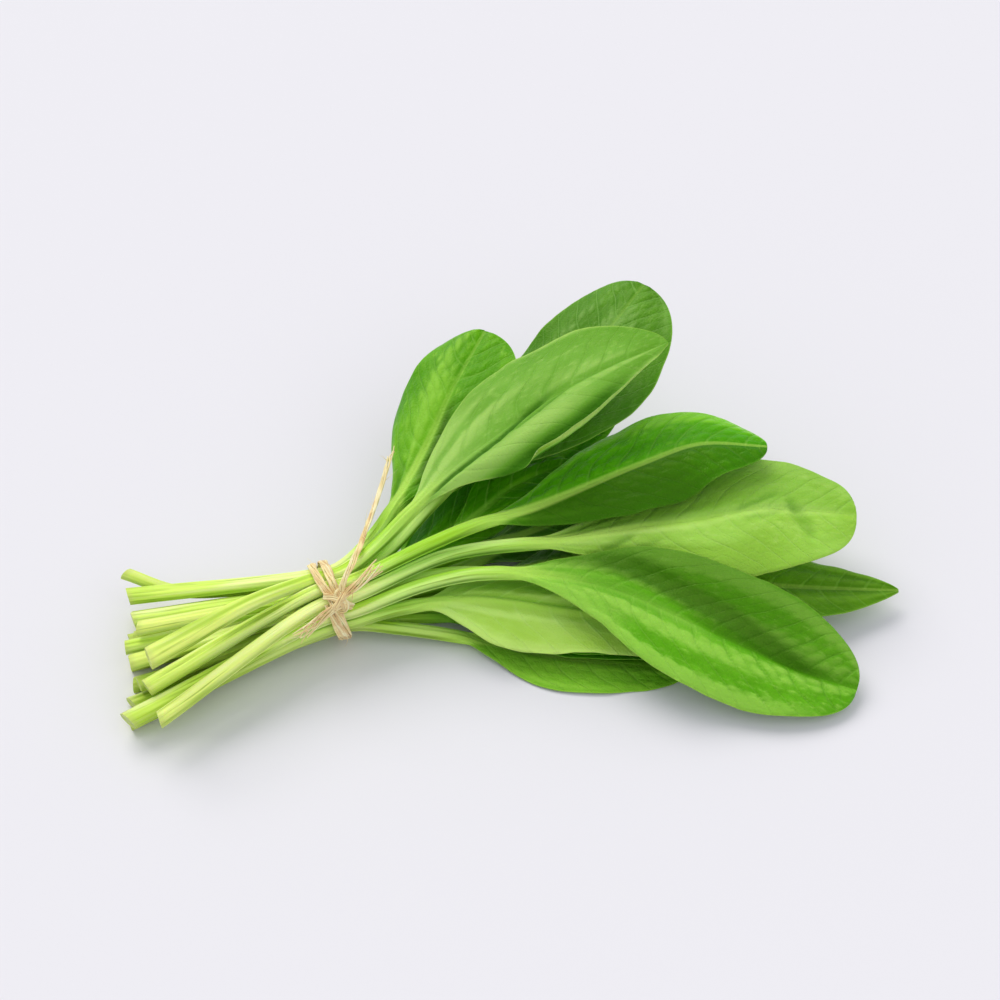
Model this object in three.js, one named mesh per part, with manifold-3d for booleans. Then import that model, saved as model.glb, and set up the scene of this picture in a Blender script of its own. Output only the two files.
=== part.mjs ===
// A bunch of flat-leaf spinach lying on its side, its stems tied with twine.
// Units are millimetres, +Z is up, and the surface that the bunch lies on is z = 0.
// Each leaf is one piece, from the cut end of its stem to the tip of its blade.
import * as THREE from "three";
import { mergeVertices } from "three/addons/utils/BufferGeometryUtils.js";
import Module from "manifold-3d";

const wasm = await Module();
wasm.setup();

// ---------------------------------------------------------------- driving dimensions

const ORIGIN = [69.9, 37.4]; // middle of the whole bunch's outline, from below the tie

const TIE_HEIGHT = 17.2; // middle of the tied stems above the surface
const TIE_TURN = 20; // degrees from +X to the way the stems run through the tie
const TIE_HALF_LENGTH = 6; // the stems run straight this far either side of the tie
const RING_RADII = [0, 5.65, 11.2]; // rings of stems in the tie: one, six and twelve

const STEM_RADIUS = 2.6; // where a stem of full girth is tied
const STEM_SWELL = [1.1, 1.05]; // stem radius at the cut end and at the blade, as shares
const RIB_SHARES = [0.9, 0.22]; // midrib radius at the blade's base and tip, as shares
const RIB_ABOVE = 0.1; // share of the midrib that stands out of a blade's upper face

const BLADE_THICKNESS = 0.8;
const NECK = 0.16; // share of the blade in which the round stem flattens out
const RIM = 0.62; // share of the half width where a blade's outer row of facets starts

// Where the stations are that a leaf's skin is stretched over, as shares of each stretch.
const CUT_TO_TIE = [0, 0.25, 0.5, 0.75, 0.92, 1];
const TIE_TO_BLADE = [0, 0.25, 0.5, 0.75];
const ALONG_BLADE = [0, 0.06, 0.13, 0.22, 0.33, 0.45, 0.57, 0.69, 0.8, 0.89, 0.96, 1];

// One entry for each leaf, from the tie outwards:
//   tie     which ring the stem is in, and its clock angle (0 back, 90 top, 180 front)
//   stem    cut end first: distance along the bunch, place across it, height
//   flare   width of the cut end, as a share of its thickness
//   girth   of the stem, as a share of the usual one
//   route   where the stem and midrib run, the tip last
//   length  of the blade
//   half    widths of the near (right-hand) and far halves, where they are widest
//   widest  where that is, as a share of the length
//   tip     of each half: 2 is round, towards 1 is pointed
//   roll    of the blade about its midrib, at its base and tip, in degrees
//   fold    how steeply each half rises from the midrib, in degrees
//   curl    how much each half has bent by its edge, in degrees
//   wave    of the edges: height, number and phase in degrees
//   underside  true where the underside is up
const LEAVES = [
  {
    name: "leaf_01", // stands up at the back left
    tie: [2, 45], stem: [[73, 29, 17]], flare: 1.3, girth: 1,
    route: [[17, 23, 31], [29, 46, 37], [37, 63, 43], [45, 81, 51], [59, 109, 60]],
    length: 92, half: [27, 22], widest: 0.58, tip: [2.1, 2.1],
    roll: [20, 5], fold: [8, 6], curl: [-20, -30], wave: [1.4, 2.5, 0],
  },
  {
    name: "leaf_02", // large, on top, leaning back
    tie: [2, 75], stem: [[75, -18, 32], [32, -4, 32]], flare: 1.7, girth: 1,
    route: [[17, 12, 34], [31, 23, 43], [50, 41, 52], [86, 63, 66], [108, 74, 72], [131, 85, 75]],
    length: 128, half: [25, 30], widest: 0.56, tip: [1.15, 1.9],
    roll: [10, 5], fold: [22, 8], curl: [-60, -15], wave: [1.4, 2, 60],
  },
  {
    name: "leaf_03", // broad, behind it
    tie: [1, 30], stem: [[74, 17, 16]], flare: 1.2, girth: 1,
    route: [[20, 18, 24], [39, 40, 31], [67, 69, 41], [96, 97, 51], [124, 131, 66]],
    length: 128, half: [33, 27], widest: 0.6, tip: [2.1, 2.3],
    roll: [8, 5], fold: [0, 0], curl: [-8, -10], wave: [1.2, 2.5, 0],
  },
  {
    name: "leaf_04", // glossy, to the right of them
    tie: [2, 105], stem: [[77, -16, 14]], flare: 1.3, girth: 1,
    route: [[38, 12, 36], [55, 20, 38], [80, 28, 41], [120, 45, 47], [143, 54, 49], [170, 55, 47]],
    length: 122, half: [19, 22], widest: 0.6, tip: [1.8, 1.8],
    roll: [5, 10], fold: [-15, 10], curl: [-20, -20], wave: [1.3, 2.2, 90],
  },
  {
    name: "leaf_05", // at the right end of the pile
    tie: [2, 135], stem: [[77, -36, 18]], flare: 1.1, girth: 1,
    route: [[45, 12, 30], [88, 18, 32], [119, 23, 34], [142, 26, 35], [166, 31, 36], [204, 31, 33]],
    length: 132, half: [24, 25], widest: 0.66, tip: [2.4, 2.6],
    roll: [0, 0], fold: [-20, 6], curl: [-15, -10], wave: [1.6, 2.5, 30],
  },
  {
    name: "leaf_06", // large, at the front right
    tie: [2, 165], stem: [[87, -25, 9]], flare: 1.5, girth: 1,
    route: [
      [36, 1, 25], [57, 5, 27], [82, 3, 28], [110, -4, 27], [133, -14, 23], [163, -25, 15], [200, -35, 5.5],
    ],
    length: 146, half: [24, 27], widest: 0.6, tip: [2.3, 2.3],
    roll: [-5, -5], fold: [5, 24], curl: [-30, -16], wave: [1.2, 2.5, 0],
  },
  {
    name: "leaf_07", // pointed, at the far right
    tie: [1, 150], stem: [[80, -3, 15.5]], flare: 1.2, girth: 0.95,
    route: [[40, 9, 22], [70, 10, 22], [104, 11, 20], [151, 11, 16], [182, 11, 13], [221, 13, 9]],
    length: 112, half: [20, 18], widest: 0.5, tip: [1.25, 1.25],
    roll: [0, 0], fold: [4, 8], curl: [-10, -10], wave: [1, 2, 0],
  },
  {
    name: "leaf_08", // upside down, at the front
    underside: true,
    tie: [2, 195], stem: [[86, -20, 2.5]], flare: 1.3, girth: 1,
    route: [[27, -4, 17], [53, 0, 17], [88, -3, 14.5], [122, -8, 13], [149, -13, 10]],
    length: 120, half: [17, 18], widest: 0.34, tip: [2, 2],
    roll: [0, 0], fold: [-5, 0], curl: [-25, -10], wave: [1, 2, 0],
  },
  {
    name: "leaf_09", // on the surface, at the front
    tie: [2, 225], stem: [[83, -12, 2.5]], flare: 1.2, girth: 0.95,
    route: [[26, -6, 8], [50, -7.5, 4.5], [65, -10, 2.6], [88, -15, 1.3], [111, -18, 1], [137, -21, 0.8]],
    length: 92, half: [15, 18], widest: 0.5, tip: [2, 2],
    roll: [0, 0], fold: [0, 0], curl: [0, 0], wave: [0.4, 2, 0],
  },
  {
    name: "leaf_10", // small, between the large ones
    tie: [1, 90], stem: [[74, 7, 22]], flare: 1.2, girth: 0.9,
    route: [[24, 12, 27], [44, 22, 29], [57, 34, 31], [69, 46, 32], [93, 60, 34]],
    length: 62, half: [12, 10], widest: 0.5, tip: [1.7, 1.7],
    roll: [0, 0], fold: [10, 10], curl: [-10, -10], wave: [1, 2, 0],
  },
  {
    name: "leaf_11", // low, along the middle
    tie: [1, 210], stem: [[79, -9, 9]], flare: 1.1, girth: 0.95,
    route: [[40, 3, 12], [75, 3, 9.5], [110, 1, 8.5], [140, 0, 8], [170, -2, 7]],
    length: 128, half: [19, 19], widest: 0.48, tip: [2, 2],
    roll: [0, 0], fold: [0, 0], curl: [-5, -5], wave: [0.8, 2, 0],
  },
  {
    name: "leaf_12", // on the surface, at the back
    tie: [2, 345], stem: [[72, 30, 2.5]], flare: 1.2, girth: 1,
    route: [[28, 26, 7], [50, 48, 2.6], [75, 74, 1.2], [95, 97, 0.9], [108, 114, 0.7]],
    length: 132, half: [14, 28], widest: 0.4, tip: [2.1, 2.1],
    roll: [0, 0], fold: [0, 0], curl: [0, 8], wave: [0.5, 2, 0],
  },
  {
    name: "leaf_13", // under the one that stands up, with a thin stem
    tie: [2, 15], stem: [[71, 40, 18], [52, 28, 13]], flare: 1, girth: 0.85,
    route: [[15, 27, 22], [31, 50, 29], [43, 72, 33], [51, 90, 35], [57, 106, 35]],
    length: 84, half: [20, 19], widest: 0.56, tip: [2, 2],
    roll: [0, 0], fold: [6, 4], curl: [-15, -25], wave: [1, 2, 0],
  },
  {
    name: "leaf_14", // low, at the back
    tie: [2, 315], stem: [[76, 19, 2.5]], flare: 1.1, girth: 1,
    route: [[36, 20, 6], [65, 38, 5.5], [95, 55, 5.5], [120, 68, 5], [142, 78, 5]],
    length: 104, half: [19, 18], widest: 0.5, tip: [2, 2],
    roll: [0, 0], fold: [0, 0], curl: [-5, -5], wave: [0.6, 2, 0],
  },
  {
    name: "leaf_15", // on the surface, in the middle
    tie: [2, 285], stem: [[79, 8, 2.5]], flare: 1.2, girth: 1,
    route: [[40, 12, 4], [80, 20, 2], [115, 28, 1.3], [150, 34, 0.9], [178, 38, 0.8]],
    length: 110, half: [19, 18], widest: 0.55, tip: [1.8, 1.8],
    roll: [0, 0], fold: [0, 0], curl: [4, 0], wave: [0.5, 2, 0],
  },
  {
    name: "leaf_16", // low, at the front
    tie: [2, 255], stem: [[80, -3, 2.5]], flare: 1.1, girth: 1,
    route: [[40, 3, 5], [75, 2, 5], [105, -3, 4.8], [130, -6, 4.6], [152, -9, 4]],
    length: 116, half: [15, 15], widest: 0.5, tip: [2, 2],
    roll: [0, 0], fold: [0, 0], curl: [-5, -5], wave: [0.5, 2, 0],
  },
  {
    name: "leaf_17", // inside, low
    tie: [1, 270], stem: [[77, 3, 9]], flare: 1, girth: 0.95,
    route: [[40, 13, 10], [75, 22, 11.5], [105, 31, 11.5], [135, 37, 11], [160, 42, 9]],
    length: 100, half: [17, 18], widest: 0.55, tip: [1.9, 1.9],
    roll: [0, 0], fold: [3, 5], curl: [-10, -10], wave: [0.8, 2, 0],
  },
  {
    name: "leaf_18", // inside, under the broad ones
    tie: [1, 330], stem: [[75, 14, 9.5]], flare: 1, girth: 0.95,
    route: [[34, 26, 18], [62, 50, 24], [84, 68, 28], [99, 81, 30], [112, 91, 31]],
    length: 120, half: [13, 22], widest: 0.42, tip: [2, 2],
    roll: [5, 5], fold: [0, 5], curl: [-15, -15], wave: [1, 2, 0],
  },
  {
    name: "leaf_19", // inside, half way up
    tie: [0, 0], stem: [[80, 5, 15.5]], flare: 1, girth: 0.95,
    route: [[40, 17, 20], [72, 30, 22], [100, 42, 24], [125, 51, 25], [148, 58, 24]],
    length: 96, half: [19, 19], widest: 0.56, tip: [2, 2],
    roll: [0, 0], fold: [5, 0], curl: [-15, -15], wave: [1, 2, 0],
  },
];

// The twine goes twice round the stems and is knotted at the top front. Points beside the
// tie are [distance along the bunch, distance from the middle of the stems, clock angle].
const TWINE_RADIUS = 1.2;
const WRAP_RADIUS = 15.8;
const WRAPS = [[-1.6, -13], [1.3, -6]]; // distance along the bunch, and lean in degrees
const KNOT_PLACE = [0, 17.4, 135];
const KNOT_SIZE = [3.4, 2.4, 5];
const STRANDS = [
  [[-5, 15.9, 124], [-2, 19.2, 130], [2, 19.2, 140], [5, 15.9, 147]],
  [[-5, 15.9, 147], [-2, 19.8, 140], [2, 19.8, 130], [5, 15.9, 124]],
  [[0, 18, 139], [-7, 18.5, 147], [-14, 19.5, 157], [-20, 20, 166]],
  [[0, 18, 132], [8, 19, 122], [15, 21.5, 113], [20, 24, 108]],
];
const LONG_TAIL = [
  [4.2, -11.6, 30], [6, -6, 35], [9, 2, 36.5], [12.3, 16.5, 35], [17, 34, 38], [22.7, 61, 41],
];

// ---------------------------------------------------------------- places beside the tie

const radians = THREE.MathUtils.degToRad;
const mix = THREE.MathUtils.lerp;
const UP = new THREE.Vector3(0, 0, 1);
const AXIS = new THREE.Vector3(Math.cos(radians(TIE_TURN)), Math.sin(radians(TIE_TURN)), 0);
const ACROSS = new THREE.Vector3(-AXIS.y, AXIS.x, 0);

function beside([along, out, clock]) {
  return new THREE.Vector3(0, 0, TIE_HEIGHT)
    .addScaledVector(AXIS, along)
    .addScaledVector(ACROSS, out * Math.cos(radians(clock)))
    .addScaledVector(UP, out * Math.sin(radians(clock)));
}

function stemPoint([along, sideways, height]) {
  return new THREE.Vector3(0, 0, height)
    .addScaledVector(AXIS, -along)
    .addScaledVector(ACROSS, sideways);
}

// ---------------------------------------------------------------- leaves

// A leaf's centre line, with lengths measured along it from the cut end.
class CentreLine {
  static SAMPLES = 24; // between two of its points

  constructor(leaf) {
    const [ring, clock] = leaf.tie;
    const points = [
      ...leaf.stem.map(stemPoint),
      beside([-TIE_HALF_LENGTH, RING_RADII[ring], clock]),
      beside([TIE_HALF_LENGTH, RING_RADII[ring], clock]),
      ...leaf.route.map((p) => new THREE.Vector3(...p)),
    ];
    this.curve = new THREE.CatmullRomCurve3(points, false, "centripetal");
    this.lengths = this.curve.getLengths(CentreLine.SAMPLES * (points.length - 1));
    this.total = this.lengths.at(-1);
    this.tieStart = this.lengths[CentreLine.SAMPLES * leaf.stem.length];
    this.tieEnd = this.lengths[CentreLine.SAMPLES * (leaf.stem.length + 1)];
    this.bladeStart = this.total - leaf.length;
  }

  // The point at a length, with level and upright directions square to the line.
  at(length) {
    const last = this.lengths.length - 1;
    const next = this.lengths.findIndex((l) => l > length);
    const i = (next < 0 ? last : next) - 1;
    const share = (length - this.lengths[i]) / (this.lengths[i + 1] - this.lengths[i]);
    const t = Math.min(1, (i + share) / last);
    const tangent = this.curve.getTangent(t);
    const side = new THREE.Vector3().crossVectors(tangent, UP).normalize();
    const normal = new THREE.Vector3().crossVectors(side, tangent);
    return { point: this.curve.getPoint(t), side, normal };
  }
}

function ease(x) {
  const c = THREE.MathUtils.clamp(x, 0, 1);
  return c * c * (3 - 2 * c);
}

// Half width of a blade at t along it, as a share of the widest.
function outline(t, widest, tip) {
  if (t < widest) return Math.pow(ease(t / widest), 0.9);
  const past = Math.pow((t - widest) / (1 - widest), tip);
  return Math.pow(Math.max(0, 1 - past), 1 / tip);
}

// How far sideways and up a blade has gone at a distance out from its midrib.
function reach(distance, width, fold, curl) {
  const steps = 8;
  let sideways = 0;
  let upwards = 0;
  for (let i = 0; i < steps; i++) {
    const share = ((i + 0.5) / steps) * (distance / width);
    const angle = radians(fold + curl * share);
    sideways += (Math.cos(angle) * distance) / steps;
    upwards += (Math.sin(angle) * distance) / steps;
  }
  return [sideways, upwards];
}

const COLUMNS = [-3, -2, -1, 0, 1, 2, 3]; // across a face: edge, rim, rib, middle and back

// The points round a leaf at one length: the upper face from far to near, then the lower.
function section(leaf, line, length) {
  const { point, side, normal } = line.at(length);
  const t = (length - line.bladeStart) / leaf.length; // below 0 on the stem
  const blade = Math.max(0, t);
  const toTie = Math.min(1, length / line.tieStart);
  const toBlade = THREE.MathUtils.clamp((length - line.tieEnd) / (line.bladeStart - line.tieEnd), 0, 1);
  const swell = mix(STEM_SWELL[0], 1, toTie) * mix(1, STEM_SWELL[1], toBlade);
  const radius = STEM_RADIUS * leaf.girth * swell;
  const breadth = radius * mix(leaf.flare, 1, ease(toTie));
  const rib = radius * mix(RIB_SHARES[0], RIB_SHARES[1], blade);
  const flatness = ease(blade / NECK);
  const roll = radians(mix(leaf.roll[0], leaf.roll[1], blade) * ease((t + 0.3) / 0.5));
  const s = side.clone().multiplyScalar(Math.cos(roll)).addScaledVector(normal, Math.sin(roll));
  const n = normal.clone().multiplyScalar(Math.cos(roll)).addScaledVector(side, -Math.sin(roll));
  const [waveHeight, waves, phase] = leaf.wave;
  const ring = [];
  for (const face of [1, -1]) {
    const ridge = (face > 0) === !leaf.underside ? RIB_ABOVE : 1;
    for (const column of COLUMNS) {
      const turn = Math.PI * (0.5 - column / COLUMNS.length);
      const round = [breadth * Math.cos(turn), face * radius * Math.sin(turn)];
      const half = column > 0 ? 0 : 1;
      const shape = outline(blade, leaf.widest, leaf.tip[half]);
      const width = rib + leaf.half[half] * shape;
      const out = [0, Math.min(rib, width / 2), width * RIM, width][Math.abs(column)];
      const [sideways, upwards] = reach(out, width, leaf.fold[half], leaf.curl[half]);
      const angle = radians(360 * waves * blade + phase + 120 * half);
      const lift = waveHeight * shape * Math.pow(out / width, 2) * Math.sin(angle);
      const bump = [rib * ridge, (rib * ridge) / 2, 0, 0][Math.abs(column)];
      const thin = upwards + lift + face * Math.max(BLADE_THICKNESS / 2, bump);
      const x = mix(round[0], Math.sign(column) * sideways, flatness);
      const z = mix(round[1], thin, flatness);
      ring.push(point.clone().addScaledVector(s, x).addScaledVector(n, z));
    }
  }
  return ring;
}

// A leaf's closed skin. Both faces are split into triangles along the same diagonals.
function leafGeometry(leaf) {
  const line = new CentreLine(leaf);
  const lengths = [
    ...CUT_TO_TIE.map((x) => x * line.tieStart),
    ...TIE_TO_BLADE.map((x) => mix(line.tieEnd, line.bladeStart, x)),
    ...ALONG_BLADE.map((x) => line.bladeStart + x * leaf.length),
  ];
  const rings = lengths.map((length) => section(leaf, line, length));
  const position = rings.flat().flatMap((p) => p.toArray());
  const index = [];
  const across = COLUMNS.length;
  const upper = (row, i) => row * 2 * across + i;
  const lower = (row, i) => upper(row, i) + across;
  const face = (a, b, c, d) => index.push(a, b, d, a, d, c);
  const back = (a, b, c, d) => index.push(a, d, b, a, c, d);
  const last = lengths.length - 1;
  for (let row = 0; row < last; row++) {
    for (let i = 0; i < across - 1; i++) {
      face(upper(row, i), upper(row, i + 1), upper(row + 1, i), upper(row + 1, i + 1));
      back(lower(row, i), lower(row, i + 1), lower(row + 1, i), lower(row + 1, i + 1));
    }
    const end = across - 1;
    back(upper(row, 0), lower(row, 0), upper(row + 1, 0), lower(row + 1, 0));
    face(upper(row, end), lower(row, end), upper(row + 1, end), lower(row + 1, end));
  }
  for (let i = 0; i < across - 1; i++) {
    back(upper(0, i), upper(0, i + 1), lower(0, i), lower(0, i + 1));
    face(upper(last, i), upper(last, i + 1), lower(last, i), lower(last, i + 1));
  }
  return new THREE.BufferGeometry()
    .setAttribute("position", new THREE.Float32BufferAttribute(position, 3))
    .setIndex(index);
}

// ---------------------------------------------------------------- twine

// A round strand along a smooth curve.
function strandGeometry(points) {
  const disc = new THREE.Shape().absarc(0, 0, TWINE_RADIUS, 0, 2 * Math.PI);
  const extrudePath = new THREE.CatmullRomCurve3(points);
  const steps = Math.ceil(extrudePath.getLength() / (3 * TWINE_RADIUS));
  return new THREE.ExtrudeGeometry(disc, { steps, curveSegments: 3, extrudePath });
}

function wrapGeometry([along, lean]) {
  const facing = new THREE.Quaternion().setFromUnitVectors(UP, AXIS);
  const leaning = new THREE.Quaternion().setFromAxisAngle(ACROSS, radians(lean));
  return new THREE.TorusGeometry(WRAP_RADIUS, TWINE_RADIUS, 6, 30)
    .applyQuaternion(facing)
    .applyQuaternion(leaning)
    .translate(AXIS.x * along, AXIS.y * along, TIE_HEIGHT);
}

function knotGeometry() {
  const place = beside(KNOT_PLACE);
  const outward = place.clone().setZ(place.z - TIE_HEIGHT).normalize();
  const round = new THREE.Vector3().crossVectors(AXIS, outward);
  return new THREE.SphereGeometry(1, 10, 6)
    .scale(...KNOT_SIZE)
    .applyMatrix4(new THREE.Matrix4().makeBasis(AXIS, outward, round))
    .translate(place.x, place.y, place.z);
}

// ---------------------------------------------------------------- joining and cutting

function solid(geometry) {
  const bare = geometry.clone();
  bare.deleteAttribute("normal");
  bare.deleteAttribute("uv");
  const merged = mergeVertices(bare, 1e-3);
  const vertProperties = merged.attributes.position.array;
  const triVerts = new Uint32Array(merged.index.array);
  return new wasm.Manifold(new wasm.Mesh({ numProp: 3, vertProperties, triVerts }));
}

function geometryOf(manifold) {
  const mesh = manifold.getMesh();
  return new THREE.BufferGeometry()
    .setAttribute("position", new THREE.Float32BufferAttribute(mesh.vertProperties, 3))
    .setIndex([...mesh.triVerts]);
}

// Cuts a piece off flat where it would go below the surface that the bunch lies on.
function rested(geometry) {
  geometry.computeBoundingBox();
  if (geometry.boundingBox.min.z >= 0) return geometry;
  const below = new THREE.BoxGeometry(1000, 1000, 100).translate(0, 0, -50);
  return geometryOf(solid(geometry).subtract(solid(below)));
}

// One piece from several that cross, without the scraps and slivers that crossing leaves.
function joined(geometries) {
  const sliver = 0.02;
  const bodies = geometries.map(solid).reduce((a, b) => a.add(b)).decompose();
  const largest = bodies.reduce((a, b) => (b.volume() > a.volume() ? b : a));
  return geometryOf(largest.simplify(sliver));
}

// ---------------------------------------------------------------- the bunch

const bunch = new THREE.Group();

function add(name, geometry, finish) {
  const mesh = new THREE.Mesh(geometry, new THREE.MeshStandardMaterial(finish));
  mesh.name = name;
  mesh.position.set(-ORIGIN[0], -ORIGIN[1], 0);
  bunch.add(mesh);
}

for (const leaf of LEAVES) {
  add(leaf.name, rested(leafGeometry(leaf)), { color: 0x4f9a1c, roughness: 0.42, metalness: 0 });
}

const twine = joined([
  ...WRAPS.map(wrapGeometry),
  knotGeometry(),
  ...STRANDS.map((points) => strandGeometry(points.map(beside))),
  strandGeometry(LONG_TAIL.map((p) => new THREE.Vector3(...p))),
]);
add("twine_tie", twine, { color: 0xd2b878, roughness: 0.9, metalness: 0 });

export default bunch;
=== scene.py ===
"""A bunch of flat-leaf spinach lying on a pale floor, its stems tied with twine.

Each leaf is one closed skin from the cut end of its stem to the tip of its blade. It is
shaped from a sphere: the sphere's rings become sections along the leaf's centre line, which
are round on the stem and flatten into the blade. Sizes are in millimetres, and become metres
where a mesh is made. Angles are in degrees.
"""

import logging
import math
from dataclasses import dataclass, field
from enum import Enum

import bpy
import numpy as np
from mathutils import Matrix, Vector


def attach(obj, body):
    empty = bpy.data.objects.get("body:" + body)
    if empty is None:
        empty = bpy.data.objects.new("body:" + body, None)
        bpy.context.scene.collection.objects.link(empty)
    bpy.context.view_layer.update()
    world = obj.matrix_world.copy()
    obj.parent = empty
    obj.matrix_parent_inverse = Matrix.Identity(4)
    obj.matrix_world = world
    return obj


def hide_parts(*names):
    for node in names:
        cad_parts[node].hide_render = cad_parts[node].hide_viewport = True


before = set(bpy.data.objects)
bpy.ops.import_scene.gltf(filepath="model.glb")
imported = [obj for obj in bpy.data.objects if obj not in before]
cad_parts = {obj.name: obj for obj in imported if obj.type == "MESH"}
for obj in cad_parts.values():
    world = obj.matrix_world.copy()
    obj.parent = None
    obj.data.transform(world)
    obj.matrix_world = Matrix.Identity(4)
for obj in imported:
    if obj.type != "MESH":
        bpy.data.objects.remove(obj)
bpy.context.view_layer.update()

LOG = logging.getLogger("spinach")
MM = 0.001
ROOT = "root"

ORIGIN = np.array([69.9, 37.4, 0.0])  # middle of the bunch's outline, from below the tie
TIE_HEIGHT = 17.2  # of the middle of the stems
TIE_TURN = math.radians(20)  # of the bunch there, towards the back
TIE_HALF_LENGTH = 6
RING_RADII = (0, 5.65, 11.2)  # of the rings that the tied stems lie in
UP = np.array([0.0, 0.0, 1.0])
AXIS = np.array([math.cos(TIE_TURN), math.sin(TIE_TURN), 0.0])
ACROSS = np.array([-AXIS[1], AXIS[0], 0.0])

VEIN_SPACING = 13.0  # between the veins that leave the midrib, along it
CROSS_SPACING = 4.6  # between the veins that join them
GOLDEN = 0.618  # keeps the joining veins of neighbouring rows apart

Array = np.ndarray
Pair = tuple[float, float]
Place = tuple[float, float, float]
Route = tuple[Place, ...]
Colour = tuple[float, float, float, float]
Socket = bpy.types.NodeSocket


# ---------------------------------------------------------------- numbers and places


def linear(code: str) -> Colour:
    """Turns a colour as a screen shows it into the linear one that a shader takes.

    Args:
        code: Six hexadecimal digits, such as "7fc241".

    Returns:
        Red, green, blue and an alpha of 1.
    """
    shown = [int(code[i : i + 2], 16) / 255 for i in (0, 2, 4)]
    r, g, b = (c / 12.92 if c < 0.04045 else ((c + 0.055) / 1.055) ** 2.4 for c in shown)
    return (r, g, b, 1.0)


def ease(x: Array | float) -> Array:
    """Goes smoothly from 0 to 1 as x does."""
    c = np.clip(x, 0.0, 1.0)
    return c * c * (3 - 2 * c)


def mix(a: Array | float, b: Array | float, share: Array | float) -> Array:
    """Goes from a to b as share goes from 0 to 1."""
    return a + (b - a) * share


def unit(vectors: Array) -> Array:
    """Brings each vector to a length of 1."""
    return vectors / np.linalg.norm(vectors, axis=-1, keepdims=True)


def beside(along: float, out: float, clock: float) -> Array:
    """Finds a place beside the tie.

    Args:
        along: Distance along the bunch from the tie.
        out: Distance from the middle of the stems.
        clock: Angle round them, 0 at the back, 90 at the top and 180 at the front.

    Returns:
        The place.
    """
    angle = math.radians(clock)
    outward = ACROSS * math.cos(angle) + UP * math.sin(angle)
    return UP * TIE_HEIGHT + AXIS * along + outward * out


class Unevenness:
    """Smooth random heights over a plane, between -1 and 1, the same at every run."""

    SIZE = 64

    def __init__(self, seed: int) -> None:
        """Draws the heights that lie at whole coordinates."""
        self.heights = np.random.default_rng(seed).uniform(-1, 1, (self.SIZE, self.SIZE))

    def at(self, x: Array, y: Array | float) -> Array:
        """Reads heights, with a bump about every unit.

        Args:
            x: How far along the plane each place is.
            y: How far across it.

        Returns:
            The height at each place.
        """
        x, y = np.broadcast_arrays(np.asarray(x, float), np.asarray(y, float))
        i, j = np.floor(x).astype(int), np.floor(y).astype(int)
        u, v = ease(x - i), ease(y - j)
        i0, j0 = i % self.SIZE, j % self.SIZE
        i1, j1 = (i + 1) % self.SIZE, (j + 1) % self.SIZE
        low = mix(self.heights[i0, j0], self.heights[i1, j0], u)
        high = mix(self.heights[i0, j1], self.heights[i1, j1], u)
        return mix(low, high, v)


class CentreLine:
    """A smooth curve through points, with lengths measured along it."""

    SAMPLES = 24  # between two points
    NUDGE = 1e-4  # share of the curve over which its direction is taken

    def __init__(self, points: list[Array]) -> None:
        """Lays the curve and measures it.

        Args:
            points: The points, in order.
        """
        p = np.array(points, float)
        self.count = len(p) - 1
        self.points = np.vstack([2 * p[0] - p[1], p, 2 * p[-1] - p[-2]])
        self.shares = np.linspace(0, 1, self.SAMPLES * self.count + 1)
        steps = np.linalg.norm(np.diff(self.point(self.shares), axis=0), axis=1)
        self.lengths = np.concatenate([[0.0], np.cumsum(steps)])
        self.total = float(self.lengths[-1])

    def point(self, share: Array) -> Array:
        """Finds places on the curve, which is a centripetal Catmull-Rom spline.

        Args:
            share: How far along it each place is, from 0 to 1.

        Returns:
            The places.
        """
        place = np.clip(share, 0, 1) * self.count
        i = np.minimum(place.astype(int), self.count - 1)
        w = (place - i)[:, None]
        p0, p1, p2, p3 = (self.points[i + k] for k in range(4))
        gaps = ((p0, p1), (p1, p2), (p2, p3))
        d0, d1, d2 = (np.sqrt(np.linalg.norm(b - a, axis=1))[:, None] for a, b in gaps)
        m1 = ((p1 - p0) / d0 - (p2 - p0) / (d0 + d1) + (p2 - p1) / d1) * d1
        m2 = ((p2 - p1) / d1 - (p3 - p1) / (d1 + d2) + (p3 - p2) / d2) * d1
        bend = (3 * (p2 - p1) - 2 * m1 - m2) * w**2 + (2 * (p1 - p2) + m1 + m2) * w**3
        return p1 + m1 * w + bend

    def at(self, lengths: Array) -> tuple[Array, Array]:
        """Finds places and directions.

        Args:
            lengths: Distances along the curve.

        Returns:
            The places, and the unit tangents there.
        """
        share = np.interp(lengths, self.lengths, self.shares)
        ahead = self.point(np.minimum(1, share + self.NUDGE))
        behind = self.point(np.maximum(0, share - self.NUDGE))
        return self.point(share), unit(ahead - behind)


# ---------------------------------------------------------------- shader graphs


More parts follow.
